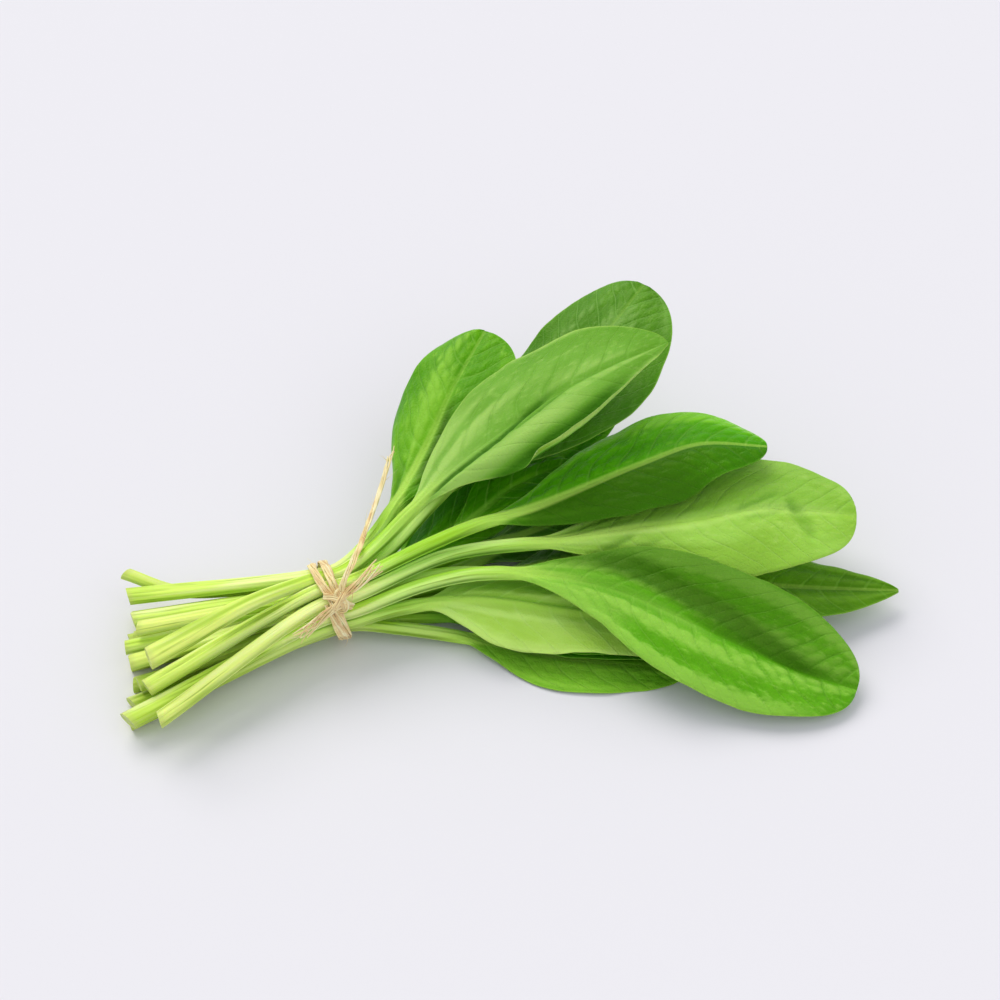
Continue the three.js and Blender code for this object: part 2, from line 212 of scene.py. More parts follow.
class Graph:
    """A material's node graph, built up one socket at a time.

    Where a method takes an object, it is a socket, a number, or a colour as four numbers.
    """

    def __init__(self, name: str) -> None:
        """Starts a material with only its shader and output.

        Args:
            name: The material's name.
        """
        self.material = bpy.data.materials.new(name)
        self.material.use_nodes = True
        self.tree = self.material.node_tree
        self.shader = self.tree.nodes["Principled BSDF"]

    def feed(self, node: bpy.types.Node, inputs: dict) -> None:
        """Links a node's inputs to other sockets, or sets them to numbers or colours.

        Args:
            node: The node.
            inputs: What each input takes, by its name or number.
        """
        for key, value in inputs.items():
            if isinstance(value, Socket):
                self.tree.links.new(value, node.inputs[key])
            else:
                node.inputs[key].default_value = value

    def add(self, kind: str, inputs: dict | None = None, **settings: object) -> bpy.types.Node:
        """Adds a node.

        Args:
            kind: The node's type, without its ShaderNode prefix.
            inputs: What each input takes, by its name or number.
            settings: The node's own properties.

        Returns:
            The new node.
        """
        node = self.tree.nodes.new("ShaderNode" + kind)
        for key, value in settings.items():
            setattr(node, key, value)
        self.feed(node, inputs or {})
        return node

    def sum(self, operation: str, *values: object) -> Socket:
        """Works out one step of arithmetic, such as DIVIDE."""
        return self.add("Math", dict(enumerate(values)), operation=operation).outputs[0]

    def times(self, a: object, b: object) -> Socket:
        """Multiplies two numbers."""
        return self.sum("MULTIPLY", a, b)

    def shifted(self, value: object, factor: float, start: float) -> Socket:
        """Multiplies a number and adds another."""
        return self.sum("MULTIPLY_ADD", value, factor, start)

    def step(self, value: object, low: float, high: float) -> Socket:
        """Goes smoothly from 0 to 1 as a value goes from low to high."""
        inputs = {"Value": value, "From Min": low, "From Max": high}
        return self.add("MapRange", inputs, interpolation_type="SMOOTHSTEP").outputs[0]

    def drop(self, value: object, low: float, high: float) -> Socket:
        """Goes smoothly from 1 to 0 as a value goes from low to high."""
        return self.sum("SUBTRACT", 1.0, self.step(value, low, high))

    def blend(self, share: object, a: object, b: object) -> Socket:
        """Goes from colour a to colour b as share goes from 0 to 1."""
        return self.add("Mix", {0: share, 6: a, 7: b}, data_type="RGBA").outputs[2]

    def tint(self, base: object, share: object, strength: float, colour: object) -> Socket:
        """Brings a colour towards another, which may be given as hexadecimal digits."""
        target = linear(colour) if isinstance(colour, str) else colour
        return self.blend(self.times(share, strength), base, target)

    def split(self, vector: object) -> list[Socket]:
        """Gives the three numbers of a vector."""
        return list(self.add("SeparateXYZ", {0: vector}).outputs)

    def noise(self, place: object, scale: float, detail: float = 2) -> Socket:
        """Gives smooth random numbers from 0 to 1."""
        return self.add("TexNoise", {"Vector": place, "Scale": scale, "Detail": detail}).outputs[0]

    def stretched(self, place: object, scale: Place) -> Socket:
        """Scales a place by a different number each way."""
        return self.add("VectorMath", {0: place, 1: scale}, operation="MULTIPLY").outputs[0]

    def attribute(self, name: str, output: str = "Vector") -> Socket:
        """Reads an attribute of the mesh."""
        return self.add("Attribute", attribute_name=name).outputs[output]

    def bump(self, height: object, strength: float, distance: float) -> Socket:
        """Turns heights into the direction that the surface faces."""
        inputs = {"Strength": strength, "Distance": distance, "Height": height}
        return self.add("Bump", inputs).outputs[0]


# ---------------------------------------------------------------- leaf finish


class Reading:
    """What a leaf's finish reads at each point of its skin.

    Attributes:
        place: Distances out from the midrib and along the leaf, moved so that no two leaves match.
        along: Distance from the cut end.
        distance: Distance from the midrib.
        ratio: The same, as a share of the midrib's width.
        margin: Distance from the edge of the blade.
        share: How far along the blade it is, below 0 on the stem.
        stem: 1 on the stem and 0 on the blade.
        side: 1 on the upper face and -1 on the lower one.
        upper: 1 on the upper face and 0 on the lower one.
        fold: Height among the pleats and the quilting.
        dark: How much painted shade it has, or painted light below 0.
        lines: 1 on a vein and 0 away from it.
        mottle: Broad blotches.
        streaks: Fine streaks along the leaf.
    """

    SHIFT = (31.0, 57.0)

    def __init__(self, g: Graph, leaf: "Leaf") -> None:
        """Reads the attributes of a leaf's mesh.

        Args:
            g: The material's graph.
            leaf: The leaf.
        """
        own = g.attribute("place")
        out, self.along, self.side = g.split(own)
        move = (self.SHIFT[0] * leaf.seed, self.SHIFT[1] * leaf.seed, 0.0)
        self.place = g.add("VectorMath", {0: own, 1: move}).outputs[0]
        across, crossing, self.share = g.split(g.attribute("veins"))
        self.margin, self.fold, self.dark = g.split(g.attribute("look"))
        self.distance = g.sum("ABSOLUTE", out)
        self.ratio = g.sum("DIVIDE", self.distance, g.attribute("rib", "Fac"))
        self.upper = g.step(self.side, -0.2, 0.2)
        self.lines = self.vein_lines(g, leaf, across, crossing)
        self.stem = g.drop(self.share, -0.1, 0.08)
        self.streaks = g.noise(g.stretched(self.place, (1.1, 0.02, 0.0)), 1.0, 3)
        self.mottle = g.noise(g.stretched(self.place, (1.0, 0.6, 0.0)), 0.06, 3)

    def vein_lines(self, g: Graph, leaf: "Leaf", across: Socket, crossing: Socket) -> Socket:
        """Draws the veins that leave the midrib, fainter ones between them, and those that join them.

        Args:
            g: The material's graph.
            leaf: The leaf.
            across: A number that is whole on each vein that leaves the midrib.
            crossing: One that is whole on each vein that joins those.

        Returns:
            1 on a vein and 0 away from it.
        """
        narrowing = g.shifted(self.distance, -0.55 / max(leaf.half), 1.0)
        near = g.times(g.sum("PINGPONG", across, 0.5), VEIN_SPACING)
        main = g.drop(g.sum("DIVIDE", near, g.times(narrowing, 1.1)), 0.2, 1.0)
        doubled = g.times(across, 2.0)
        between = g.times(g.sum("PINGPONG", doubled, 0.5), VEIN_SPACING / 2)
        second = g.drop(g.sum("DIVIDE", between, narrowing), 0.1, 0.6)
        moved = g.sum("ADD", crossing, g.sum("FRACT", g.times(g.sum("FLOOR", doubled), GOLDEN)))
        joint = g.times(g.sum("PINGPONG", moved, 0.5), CROSS_SPACING)
        third = g.drop(joint, 0.08, 0.5)
        joining = g.sum("MAXIMUM", g.times(second, 0.5), g.times(third, 0.3))
        return g.sum("MAXIMUM", main, joining)


@dataclass(frozen=True)
class StalkFinish:
    """How the stems look. A pair of colours is for the cut end and for the foot of the blade."""

    # Pale streaks, partly the stem's own and partly painted highlight, at the cut end and towards the
    # blade.
    pale_streak_and_highlight: tuple[str, str] = ("f4ffac", "dcff90")
    # Painted shade down the sides of a stem.
    skin: tuple[str, str] = ("78a80c", "447804")
    greening: str = "88d430"
    band: str = "90c018"
    streak: str = "789c0c"
    low: str = "8cac10"  # painted shade near the floor
    dried: str = "c4cc78"  # at the cut

    def colour(self, g: Graph, at: Reading, leaf: "Leaf", cut: str, stem: str) -> Socket:
        """Colours a stem: pale at the cut, greener towards the blade, streaked, with pale streaks that are
        partly painted highlight, and painted shade down its sides and near the floor.

        Args:
            g: The material's graph.
            at: What the finish reads.
            leaf: The leaf.
            cut: The stem's own colour at the cut.
            stem: Its own colour nearer the blade.

        Returns:
            The colour.
        """
        greenness = 0.35 + 0.3 * math.sin(2.4 * leaf.seed)
        pale = g.blend(greenness, linear(cut), linear(stem))
        stalk = g.blend(g.step(at.along, 10.0, leaf.stem_length * 0.9), pale, linear(stem))
        leafward = g.step(at.along, leaf.tie_end - 6.0, leaf.tie_end + 22.0)
        stalk = g.tint(stalk, leafward, 0.5, self.greening)
        pale_streak_and_highlight, skin = (g.blend(leafward, linear(a), linear(b)) for a, b in (self.pale_streak_and_highlight, self.skin))
        bands = g.noise(g.stretched(at.place, (0.3, 0.012, 0.0)), 1.0, 2)
        for pattern, low, high, strength, colour in (
            (bands, 0.48, 0.64, 0.85, pale_streak_and_highlight),
            (bands, 0.45, 0.32, 0.6, self.band),
            (at.streaks, 0.5, 0.7, 0.5, pale_streak_and_highlight),
            (at.streaks, 0.45, 0.3, 0.7, self.streak),
        ):
            stalk = g.tint(stalk, g.step(pattern, low, high), strength, colour)
        # Painted shade down the sides of the stem, stronger towards the blade.
        stalk = g.tint(stalk, g.step(at.ratio, 0.24, 0.4), g.shifted(leafward, 0.35, 0.45), skin)
        height = g.split(g.add("TexCoord").outputs["Object"])[2]
        # Painted shade on the stems near the floor.
        stalk = g.tint(stalk, g.drop(height, 7 * MM, 22 * MM), 0.35, self.low)
        return g.tint(stalk, g.drop(at.along, 0.2, 3.0), 0.45, self.dried)


@dataclass(frozen=True)
class LeafFinish:
    """How a leaf looks: its colours, with those of its painted light and shade, its gloss and how clearly
    its veins show.
    """

    blade: str = "5ea212"
    # Deeper green: blotches, and painted shade in the hollows of the pleats and quilting.
    deep: str = "3f8202"
    shade: str = "2c6000"  # painted shade, down in the folds, on shaded halves and along dark creases
    light: str = "8ccc3c"  # lighter green: the foot, blotches and speckles, and painted light on the ridges between the folds and along pale creases
    vein: str = "94cc50"
    rib: str = "c0ec64"
    under: str = "93c850"
    stem: str = "c8f450"
    cut: str = "ecfa84"
    shine: str = "d8f080"
    roughness: float = 0.42
    gloss: float = 0.35
    veins: float = 0.3
    # How strongly the pale speckles show, which are partly painted highlight.
    speckled: float = 0.35
    ribbing: float = 0.5  # how far the midrib stays pale towards the tip
    rib_end: float = 0.7  # share of the blade by which it has faded to that
    stalk: StalkFinish = StalkFinish()

    DULLER = 0.22  # how much rougher the lower face is
    GLOW_THROUGH = (0.6, 1.0, 0.15)  # how far red, green and blue light spread inside, by share

    def material(self, name: str, leaf: "Leaf") -> bpy.types.Material:
        """Makes the leaf's material.

        Args:
            name: The material's name.
            leaf: The leaf, whose attributes it reads.

        Returns:
            The material.
        """
        g = Graph(name)
        at = Reading(g, leaf)
        stalk = self.stalk.colour(g, at, leaf, self.cut, self.stem)
        rough = g.shifted(at.mottle, 0.2, self.roughness - 0.1)
        dull = g.shifted(g.sum("SUBTRACT", 1.0, at.upper), self.DULLER, rough)
        surface = {
            "Base Color": g.blend(at.stem, self.blade_colour(g, at), stalk),
            "Roughness": dull,
            "Normal": self.relief(g, at),
            "IOR": 1.42,
            "Specular IOR Level": self.gloss,
            "Specular Tint": linear(self.shine),
            "Subsurface Weight": 0.2,
            "Subsurface Radius": self.GLOW_THROUGH,
            "Subsurface Scale": 1.5 * MM,
        }
        g.feed(g.shader, surface)
        return g.material

    def blade_colour(self, g: Graph, at: Reading) -> Socket:
        """Colours the blade: blotched and speckled, lighter at its foot, with painted light on its ridges,
        painted shade in its hollows and on shaded halves, and its veins and midrib.

        Args:
            g: The material's graph.
            at: What the finish reads.

        Returns:
            The colour.
        """
        # Pale speckles: the leaf's own mottling, and partly painted highlight.
        speckle = g.noise(g.stretched(at.place, (1.0, 0.4, 0.0)), 0.55, 3)
        top = g.blend(g.step(at.mottle, 0.3, 0.7), linear(self.blade), linear(self.deep))
        top = g.tint(top, g.step(speckle, 0.5, 0.8), self.speckled, self.light)
        below = g.tint(linear(self.under), g.step(at.mottle, 0.3, 0.8), 0.5, self.light)
        blade = g.blend(at.upper, below, top)
        glow = g.times(g.drop(at.distance, 1.0, 7.0), g.drop(at.share, 0.0, 0.4))
        # In turn: paler at the foot; painted light on the ridges of the pleats and quilting and painted
        # shade in their hollows; painted light where dark is below 0; the veins; a paler rim at the margin;
        # a pale band beside the midrib at the foot; painted shade where dark is above 0.
        for share, strength, colour in (
            (g.drop(at.share, 0.0, 0.5), 0.35, self.light),
            (g.step(at.fold, 0.0, 0.5), 0.75, self.light),
            (g.step(at.fold, 0.0, -0.5), 0.9, self.deep),
            (at.dark, -0.7, self.light),
            (at.lines, self.veins, self.vein),
            (g.drop(at.margin, 0.1, 0.6), 0.22, self.rib),
            (glow, 0.45, self.light),
            (at.dark, 0.88, self.shade),
        ):
            blade = g.tint(blade, share, strength, colour)
        fading = g.shifted(g.step(at.share, 0.0, self.rib_end), self.ribbing - 1.0, 1.0)
        return g.tint(blade, g.times(g.drop(at.ratio, 0.5, 1.3), fading), 0.8, self.rib)

    def relief(self, g: Graph, at: Reading) -> Socket:
        """Raises the surface: veins sink into the upper face and stand out of the lower one.

        Args:
            g: The material's graph.
            at: What the finish reads.

        Returns:
            The direction that the surface faces.
        """
        faced = g.times(g.times(at.lines, -0.13), at.side)
        grain = g.times(g.noise(at.place, 1.1, 3), 0.28)
        blade = g.times(g.sum("ADD", faced, grain), g.sum("SUBTRACT", 1.0, at.stem))
        height = g.sum("MULTIPLY_ADD", g.times(at.streaks, 0.5), at.stem, blade)
        return g.bump(height, 1.0, MM)


class Kind(Enum):
    """The finishes that the leaves of one bunch have."""

    BRIGHT = LeafFinish(
        blade="68b010", deep="4a9404", light="8cc83c", roughness=0.38, ribbing=0.2, veins=0.2, speckled=0.7,
    )
    SOFT = LeafFinish(
        blade="76b03c", deep="66a02c", shade="306c08", light="acd46c", vein="98cc5c", under="b8dc80",
        roughness=0.55, veins=0.12, ribbing=0.0, rib_end=0.25, gloss=0.2,
    )
    COOL = LeafFinish(
        blade="5a9620", deep="448010", shade="305c08", light="88b45c", vein="8cc05c", ribbing=0.15,
    )
    FRESH = LeafFinish(
        blade="5cb808", deep="449804", shade="2a5c00", light="90d838", roughness=0.3, veins=0.2,
    )
    PALE = LeafFinish(
        blade="a8dc58", deep="98cc44", shade="408404", light="c8ee7c", vein="bce47c", under="a2d044",
        stem="dcfa88", roughness=0.5, veins=0.2, ribbing=0.1,
    )
    QUILTED = LeafFinish(
        blade="6cb820", deep="58a610", shade="2e6400", light="9cd450", roughness=0.32, ribbing=0.0,
        rib_end=0.3, veins=0.18, speckled=0.8,
    )
    OLIVE = LeafFinish(blade="5c9414", deep="487e08", light="78ac30", roughness=0.5, veins=0.2, ribbing=0.3)
    DARK = LeafFinish(blade="4c9c04", deep="388400", light="74bc18", rib="8cc840", ribbing=0.2)


# ---------------------------------------------------------------- leaves


@dataclass(frozen=True)
class Crease:
    """A sunk line in a blade, or a raised one where its depth is below 0, which may also paint shade or
    light along it.

    It runs through points, each a distance from the foot of the blade along the midrib and a
    distance from the midrib to the near side, and dies away at both ends.
    """

    points: tuple[Pair, ...]
    width: float
    depth: float
    dark: float = 0.0  # painted shade along it, up to 1, or painted light, down to -1

    FADING = 0.3  # share of its length in which it dies away

    def at(self, along: Array, out: Array) -> Array:
        """Says how far in the crease each place is.

        Args:
            along: Distances from the foot of the blade.
            out: Distances from the midrib to the near side.

        Returns:
            1 in the middle of the crease and 0 away from it.
        """
        place = np.stack(np.broadcast_arrays(along, out), axis=-1)
        nearest = np.full(place.shape[:-1], np.inf)
        points = np.array(self.points, float)
        for start, end in zip(points[:-1], points[1:]):
            way = end - start
            share = np.clip((place - start) @ way / (way @ way), 0, 1)
            gap = np.linalg.norm(place - start - share[..., None] * way, axis=-1)
            nearest = np.minimum(nearest, gap)
        begin, stop = points[0, 0], points[-1, 0]
        through = np.clip((place[..., 0] - begin) / (stop - begin), 0, 1)
        fading = ease(through / self.FADING) * ease((1 - through) / self.FADING)
        return np.exp(-((nearest / self.width) ** 2)) * fading


@dataclass(frozen=True)
class Grid:
    """The points of a leaf's skin, by section along it and round each section.

    Attributes:
        along: Distances from the cut end.
        share: Shares of the blade's length, below 0 on the stem.
        blade: The same, held at 0 along the stem.
        far: Whether a point is on the far half.
        face: 1 on the upper face and -1 on the lower one.
        turn: Angles round the stem.
        outward: Shares of the half width, 0 at the midrib and 1 at the margin.
        width: The half width.
        shape: The same, as a share of the widest.
        radius: The stem's radius.
        rib: The midrib's half width.
        flatness: 0 where a section is round and 1 where it is flat.
    """

    along: Array
    share: Array
    blade: Array
    far: Array
    face: Array
    turn: Array
    outward: Array
    width: Array
    shape: Array
    radius: Array
    rib: Array
    flatness: Array

    @property
    def out(self) -> Array:
        """Gives the distances from the midrib."""
        return self.outward * self.width

    @property
    def signed(self) -> Array:
        """Gives the distances from the midrib, below 0 on the far half."""
        return np.where(self.far, -self.out, self.out)


@dataclass
class Leaf:
    """One leaf: its place in the tie, where it runs, and the shape of its blade.

    Pairs of numbers are for the near and the far half of the blade, but roll is for its base
    and its tip, and tie says which ring of stems the leaf is in and at what clock angle. stem
    holds distances along the bunch, places across it and heights, cut end first, and route
    holds places from the tie to the tip. lip holds where the near margin starts and stops
    turning up, as shares of the blade, and by what angle.
    """

    name: str
    kind: Kind
    tie: tuple[int, float]
    stem: list[Place]
    route: list[Place]
    length: float
    half: Pair
    widest: float  # share of the blade at which it is widest
    curl: Pair = (-15.0, -15.0)
    flare: float = 1.2  # breadth of the cut end, as a share of its height
    girth: float = 1.0  # of the stem, as a share of the usual one
    tip: Pair = (2.0, 2.0)  # above 2 it is blunter, below 2 more pointed
    roll: Pair = (0.0, 0.0)
    fold: Pair = (0.0, 0.0)
    wave: Place = (1.0, 2.0, 0.0)  # height, number and start of the waves along the margin
    underside: bool = False  # whether that face is up
    quilt: float = 0.3  # heights of the quilting, the ripples and the pleats
    ripple: float = 0.7
    pleat: float = 0.8
    tone: Pair = (0.0, 0.0)  # painted shade on each half, or painted light below 0
    creases: tuple[Crease, ...] = ()
    lip: Place = (0.0, 0.0, 0.0)
    hidden: bool = False  # mostly under the others, so made of fewer faces
    line: CentreLine = field(init=False)
    seed: int = field(init=False)
    rough: Unevenness = field(init=False)

    POINTS = (44, 30)  # across each face of a leaf that shows, and of a hidden one
    STEPS = (1.0, 1.8)  # between the sections of its blade, the same way
    STEM_STEP = 3.2
    NEAR_CUT = (0.5, 1.2)  # sections close behind the cut
    RIB_CROWDING = 1.2  # above 1, points crowd towards the midrib
    TIP_CROWDING = 1.35  # above 1, sections crowd towards the tip
    STEM_RADIUS = 2.6
    STEM_SWELL = (1.1, 1.05)  # at the cut and at the blade
    CHANNEL = 0.2  # depth of the groove along the top of a stem, as a share of its radius
    CHANNEL_ANGLE = 0.5  # half its width, in radians
    CHANNEL_START = 12  # length from the cut in which it deepens
    RIDGES = 9  # round a stem
    RIDGE = 0.03  # their height, as a share of its radius
    RIB_SHARES = (0.9, 0.22)  # of the stem's radius, at the foot and at the tip
    RIB_SPREAD = 1.15  # width over which the midrib runs out into the blade, as a share of its own
    RIB_ABOVE = 0.08  # how far it stands out of the upper face, as a share of the lower one
    NECK = 0.16  # share of the blade in which the stem flattens
    FOOT = 0.12  # and in which its pleats and its quilting rise
    THICKNESS = 0.8
    EDGE_THICKNESS = 0.3
    STRAY = 0.035  # how far the margin wanders, as a share of the half width
    FAR_START = 120  # of the waves along the far margin, past those along the near one
    BENDS = 16  # steps in which a half of the blade is bent
    LIP = 0.8  # how far out the margin begins to turn up
    LIP_RISE = 0.1  # share of the blade in which it comes to do so
    VEIN_LEAN = 1.25  # how far a vein runs towards the tip for its length outwards
    FAR_SHIFT = 0.45  # of the veins on the far half, as a share of their spacing
    VEIN_BEND = 0.16  # how far they wander, the same way
    GROOVE = 0.32  # depth along a vein
    GROOVE_WIDTH = 1.1
    VALLEY = 0.5  # depth along the midrib
    VALLEY_WIDTH = 1.6
    RIB_CLEARANCE = 3.0  # width beside the midrib in which the quilting rises
    MARGIN = 0.7  # how far out the quilting begins to fade
    MARGIN_FADE = 0.85  # how much of it has gone at the edge
    SLANT = 1.32  # of the cut, at most
    SLANTED = 9.0  # length over which the slant goes
    CUT_ROUNDING = 0.45
    OFF_FLOOR = 0.25

    def __post_init__(self) -> None:
        """Lays the centre line and draws the leaf's own unevenness."""
        ring, clock = self.tie
        points = [ACROSS * across - AXIS * along + UP * height for along, across, height in self.stem]
        points += [beside(end * TIE_HALF_LENGTH, RING_RADII[ring], clock) for end in (-1, 1)]
        points += [np.array(p, float) for p in self.route]
        self.line = CentreLine(points)
        self.seed = int(self.name.split("_")[1])
        self.rough = Unevenness(self.seed)

    @property
    def tie_start(self) -> float:
        """Gives the distance from the cut end to the tie."""
        return self.line.lengths[CentreLine.SAMPLES * len(self.stem)]

    @property
    def tie_end(self) -> float:
        """Gives the distance from the cut end to where the stem leaves the tie."""
        return self.line.lengths[CentreLine.SAMPLES * (len(self.stem) + 1)]

    @property
    def stem_length(self) -> float:
        """Gives the distance from the cut end to the foot of the blade."""
        return self.line.total - self.length

    def outline(self, blade: Array, half: int) -> Array:
        """Gives the half width along the blade.

        Args:
            blade: Shares of the blade's length.
            half: 0 for the near half and 1 for the far one.

        Returns:
            The half width, as a share of the widest.
        """
        below = ease(blade / self.widest) ** 0.9
        past = np.clip((blade - self.widest) / (1 - self.widest), 0, 1) ** self.tip[half]
        above = np.maximum(0, 1 - past) ** (1 / self.tip[half])
        return np.where(blade < self.widest, below, above)

    def sections(self) -> Array:
        """Gives the lengths along the centre line at which the skin has a section.

        Returns:
            The lengths, from the cut end to the tip.
        """
        stem = np.linspace(0, self.stem_length, math.ceil(self.stem_length / self.STEM_STEP))
        even = np.linspace(0, 1, math.ceil(self.length / self.STEPS[self.hidden]))[1:]
        blade = self.stem_length + self.length * (1 - (1 - even) ** self.TIP_CROWDING)
        return np.concatenate([[0.0], stem[:1], self.NEAR_CUT, stem[1:], blade])

    def directions(self, tangent: Array, share: Array) -> tuple[Array, Array]:
        """Finds how each section is turned.

        Args:
            tangent: The way along the leaf at each section.
            share: Shares of the blade's length, below 0 on the stem.

        Returns:
            The ways to the near side and up.
        """
        side = unit(np.cross(tangent, UP))
        normal = np.cross(side, tangent)
        roll = mix(*self.roll, np.maximum(0, share)) * ease((share + 0.3) / 0.5)
        cos, sin = (way(np.radians(roll))[:, None] for way in (np.cos, np.sin))
        return side * cos + normal * sin, normal * cos - side * sin

    def grid(self, lengths: Array) -> Grid:
        """Spreads points over the skin, from the far edge over the upper face and back below.

        Args:
            lengths: Where the sections are along the centre line.

        Returns:
            The points.
        """
        count = self.POINTS[self.hidden]
        even = 2 * np.arange(count) / (count - 1) - 1
        crowded = np.sign(even) * np.abs(even) ** self.RIB_CROWDING
        across = np.concatenate([crowded, crowded[::-1]])[None, :]
        face = np.concatenate([np.ones(count), -np.ones(count)])[None, :]
        turn = (np.arange(2 * count)[None, :] + 0.5) * math.pi / count - math.pi / 2
        far = across < 0
        along = np.broadcast_to(lengths[:, None], (len(lengths), 2 * count))
        share = ((lengths - self.stem_length) / self.length)[:, None]
        blade = np.maximum(0, share)

        to_tie = np.minimum(1, along / self.tie_start)
        to_blade = np.clip((along - self.tie_end) / (self.stem_length - self.tie_end), 0, 1)
        swell = mix(self.STEM_SWELL[0], 1, to_tie) * mix(1, self.STEM_SWELL[1], to_blade)
        radius = self.STEM_RADIUS * self.girth * swell
        rib = radius * mix(*self.RIB_SHARES, blade)
        shape = np.where(far, self.outline(blade, 1), self.outline(blade, 0))
        shape = shape * (1 + self.STRAY * self.rough.at(blade * 9 + 3, np.where(far, 7.5, 2.5)))
        width = rib + np.where(far, self.half[1], self.half[0]) * shape
        flatness = ease(blade / self.NECK)
        outward = np.abs(across)
        return Grid(along, share, blade, far, face, turn, outward, width, shape, radius, rib, flatness)

    def skin(self) -> tuple[Array, dict[str, Array]]:
        """Works out the leaf's skin.

        Returns:
            Places by section and round it, and what the finish reads at each of them.
        """
        lengths = self.sections()
        grid = self.grid(lengths)
        veins = self.vein_places(grid)
        quilting = self.relief(grid, veins)
        pleats = self.pleats(grid)
        sunk, dark = self.creased(grid)
        lift = self.waves(grid) * grid.shape + quilting + self.pleat * pleats * grid.outward**0.5
        flat = self.flat_section(grid, lift - sunk)
        x, z = (mix(*both, grid.flatness) for both in zip(self.round_section(grid), flat))
        # The look attribute holds the distance from the margin, the height among the pleats and the
        # quilting, and the painted shade.
        told = {
            "place": (grid.signed, grid.along, -grid.face if self.underside else grid.face),
            "veins": (*veins, grid.share),
            "look": ((1 - grid.outward) * grid.width, pleats + 0.5 * quilting, dark),
            "rib": (grid.rib * (1 + 1.5 * (1 - grid.flatness)),),
        }
        spread = {key: np.broadcast_arrays(grid.along, *values)[1:] for key, values in told.items()}
        told = {key: np.stack(values, axis=-1) for key, values in spread.items()}
        return self.placed(lengths, grid, x, z), told

    def round_section(self, grid: Grid) -> tuple[Array, Array]:
        """Shapes the stem: grooved along the top, ribbed, and flared at the cut end.

        Args:
            grid: The skin's points.

        Returns:
            How far sideways and how far up each point is.
        """
        channel = self.CHANNEL * np.exp(-((grid.turn / self.CHANNEL_ANGLE) ** 2))
        channel = channel * ease(grid.along / self.CHANNEL_START)
        ridges = self.RIDGE * np.cos(self.RIDGES * grid.turn + self.seed)
        uneven = 0.02 * self.rough.at(grid.turn * 3, grid.along / 30)
        profile = grid.radius * (1 - channel + ridges + uneven)
        flare = mix(self.flare, 1, ease(grid.along / self.tie_start))
        return flare * np.sin(grid.turn) * profile, np.cos(grid.turn) * profile

    def flat_section(self, grid: Grid, lift: Array) -> tuple[Array, Array]:
        """Shapes the blade: its halves fold up, curl, and turn up at the lip, with the midrib between.

        Args:
            grid: The skin's points.
            lift: How high each of them is raised.

        Returns:
            How far sideways and how far up each point is.
        """
        fold = np.where(grid.far, self.fold[1], self.fold[0])
        curl = np.where(grid.far, self.curl[1], self.curl[0])
        begin, stop, turned_up = self.lip
        rise = ease((grid.blade - begin) / self.LIP_RISE) * ease((stop - grid.blade) / self.LIP_RISE)
        lip = np.where(grid.far, 0, turned_up * rise)
        angles = []
        for bend in range(self.BENDS):
            reached = grid.outward * (bend + 0.5) / self.BENDS
            turned = lip * ease((reached - self.LIP) / (1 - self.LIP))
            angles.append(np.radians(fold + curl * reached + turned))
        sideways = grid.signed * sum(map(np.cos, angles)) / self.BENDS
        upwards = grid.out * sum(map(np.sin, angles)) / self.BENDS

        thick = mix(self.THICKNESS, self.EDGE_THICKNESS, grid.outward**3) / 2
        bulge = np.sqrt(np.clip(1 - (grid.out / (grid.rib * self.RIB_SPREAD)) ** 2, 0, 1)) * grid.rib
        bulge = np.where((grid.face > 0) ^ self.underside, self.RIB_ABOVE, 1.0) * bulge
        return sideways, upwards + lift + grid.face * np.maximum(thick, bulge)

    def placed(self, lengths: Array, grid: Grid, x: Array, z: Array) -> Array:
        """Puts the sections along the centre line, slants the cut and keeps all off the floor.

        Args:
            lengths: Where the sections are along the centre line.
            grid: The skin's points.
            x: How far sideways each point is.
            z: How far up it is.

        Returns:
            The place of each point.
        """
        point, tangent = self.line.at(lengths)
        side, normal = self.directions(tangent, grid.share[:, 0])
        places = point[:, None] + side[:, None] * x[..., None] + normal[:, None] * z[..., None]
        slant = self.SLANT * math.sin(self.seed * 2.3) * (1 - np.clip(grid.along / self.SLANTED, 0, 1))
        places = places + tangent[:, None] * (slant * np.sin(grid.turn))[..., None]
        places[0] = mix(places[0], places[0].mean(axis=0), self.CUT_ROUNDING)
        lowest = np.where(grid.face > 0, self.OFF_FLOOR, 0.0) * grid.flatness
        places[..., 2] = np.maximum(places[..., 2], lowest)
        return places

    def pleats(self, grid: Grid) -> Array:
        """Makes the shallow folds that fan out from the foot of the blade.

        Args:
            grid: The skin's points.

        Returns:
            Heights, about -1 to 1.
        """
        fan = grid.signed / grid.width
        broad = self.rough.at(fan * 3.4 + 17, grid.blade * 1.6 + 5)
        fine = self.rough.at(fan * 7 + 40, grid.blade * 2.5 + 15)
        return (broad + 0.4 * fine) * ease(grid.blade / self.FOOT) * (1 - 0.55 * grid.blade)

    def waves(self, grid: Grid) -> Array:
        """Makes the waves along the margin, its small ripples and the broad unevenness of the blade.

        Args:
            grid: The skin's points.

        Returns:
            How high each point is lifted.
        """
        height, count, start = self.wave
        angle = np.radians(360 * count * grid.blade + start + np.where(grid.far, self.FAR_START, 0))
        edge = self.rough.at(grid.along / 7.0, np.where(grid.far, 11.3, 4.7)) * grid.outward**4
        broad = self.rough.at(grid.along / 22.0, grid.signed / 16.0 + 9.0) * grid.outward
        return height * grid.outward**2 * np.sin(angle) + self.ripple * (edge + 0.9 * broad)

    def creased(self, grid: Grid) -> tuple[Array, Array]:
        """Works out what the creases and the painted shade or light of each half do.

        Args:
            grid: The skin's points.

        Returns:
            How deep each point is sunk, and its painted shade, from -1 for painted light to 1.
        """
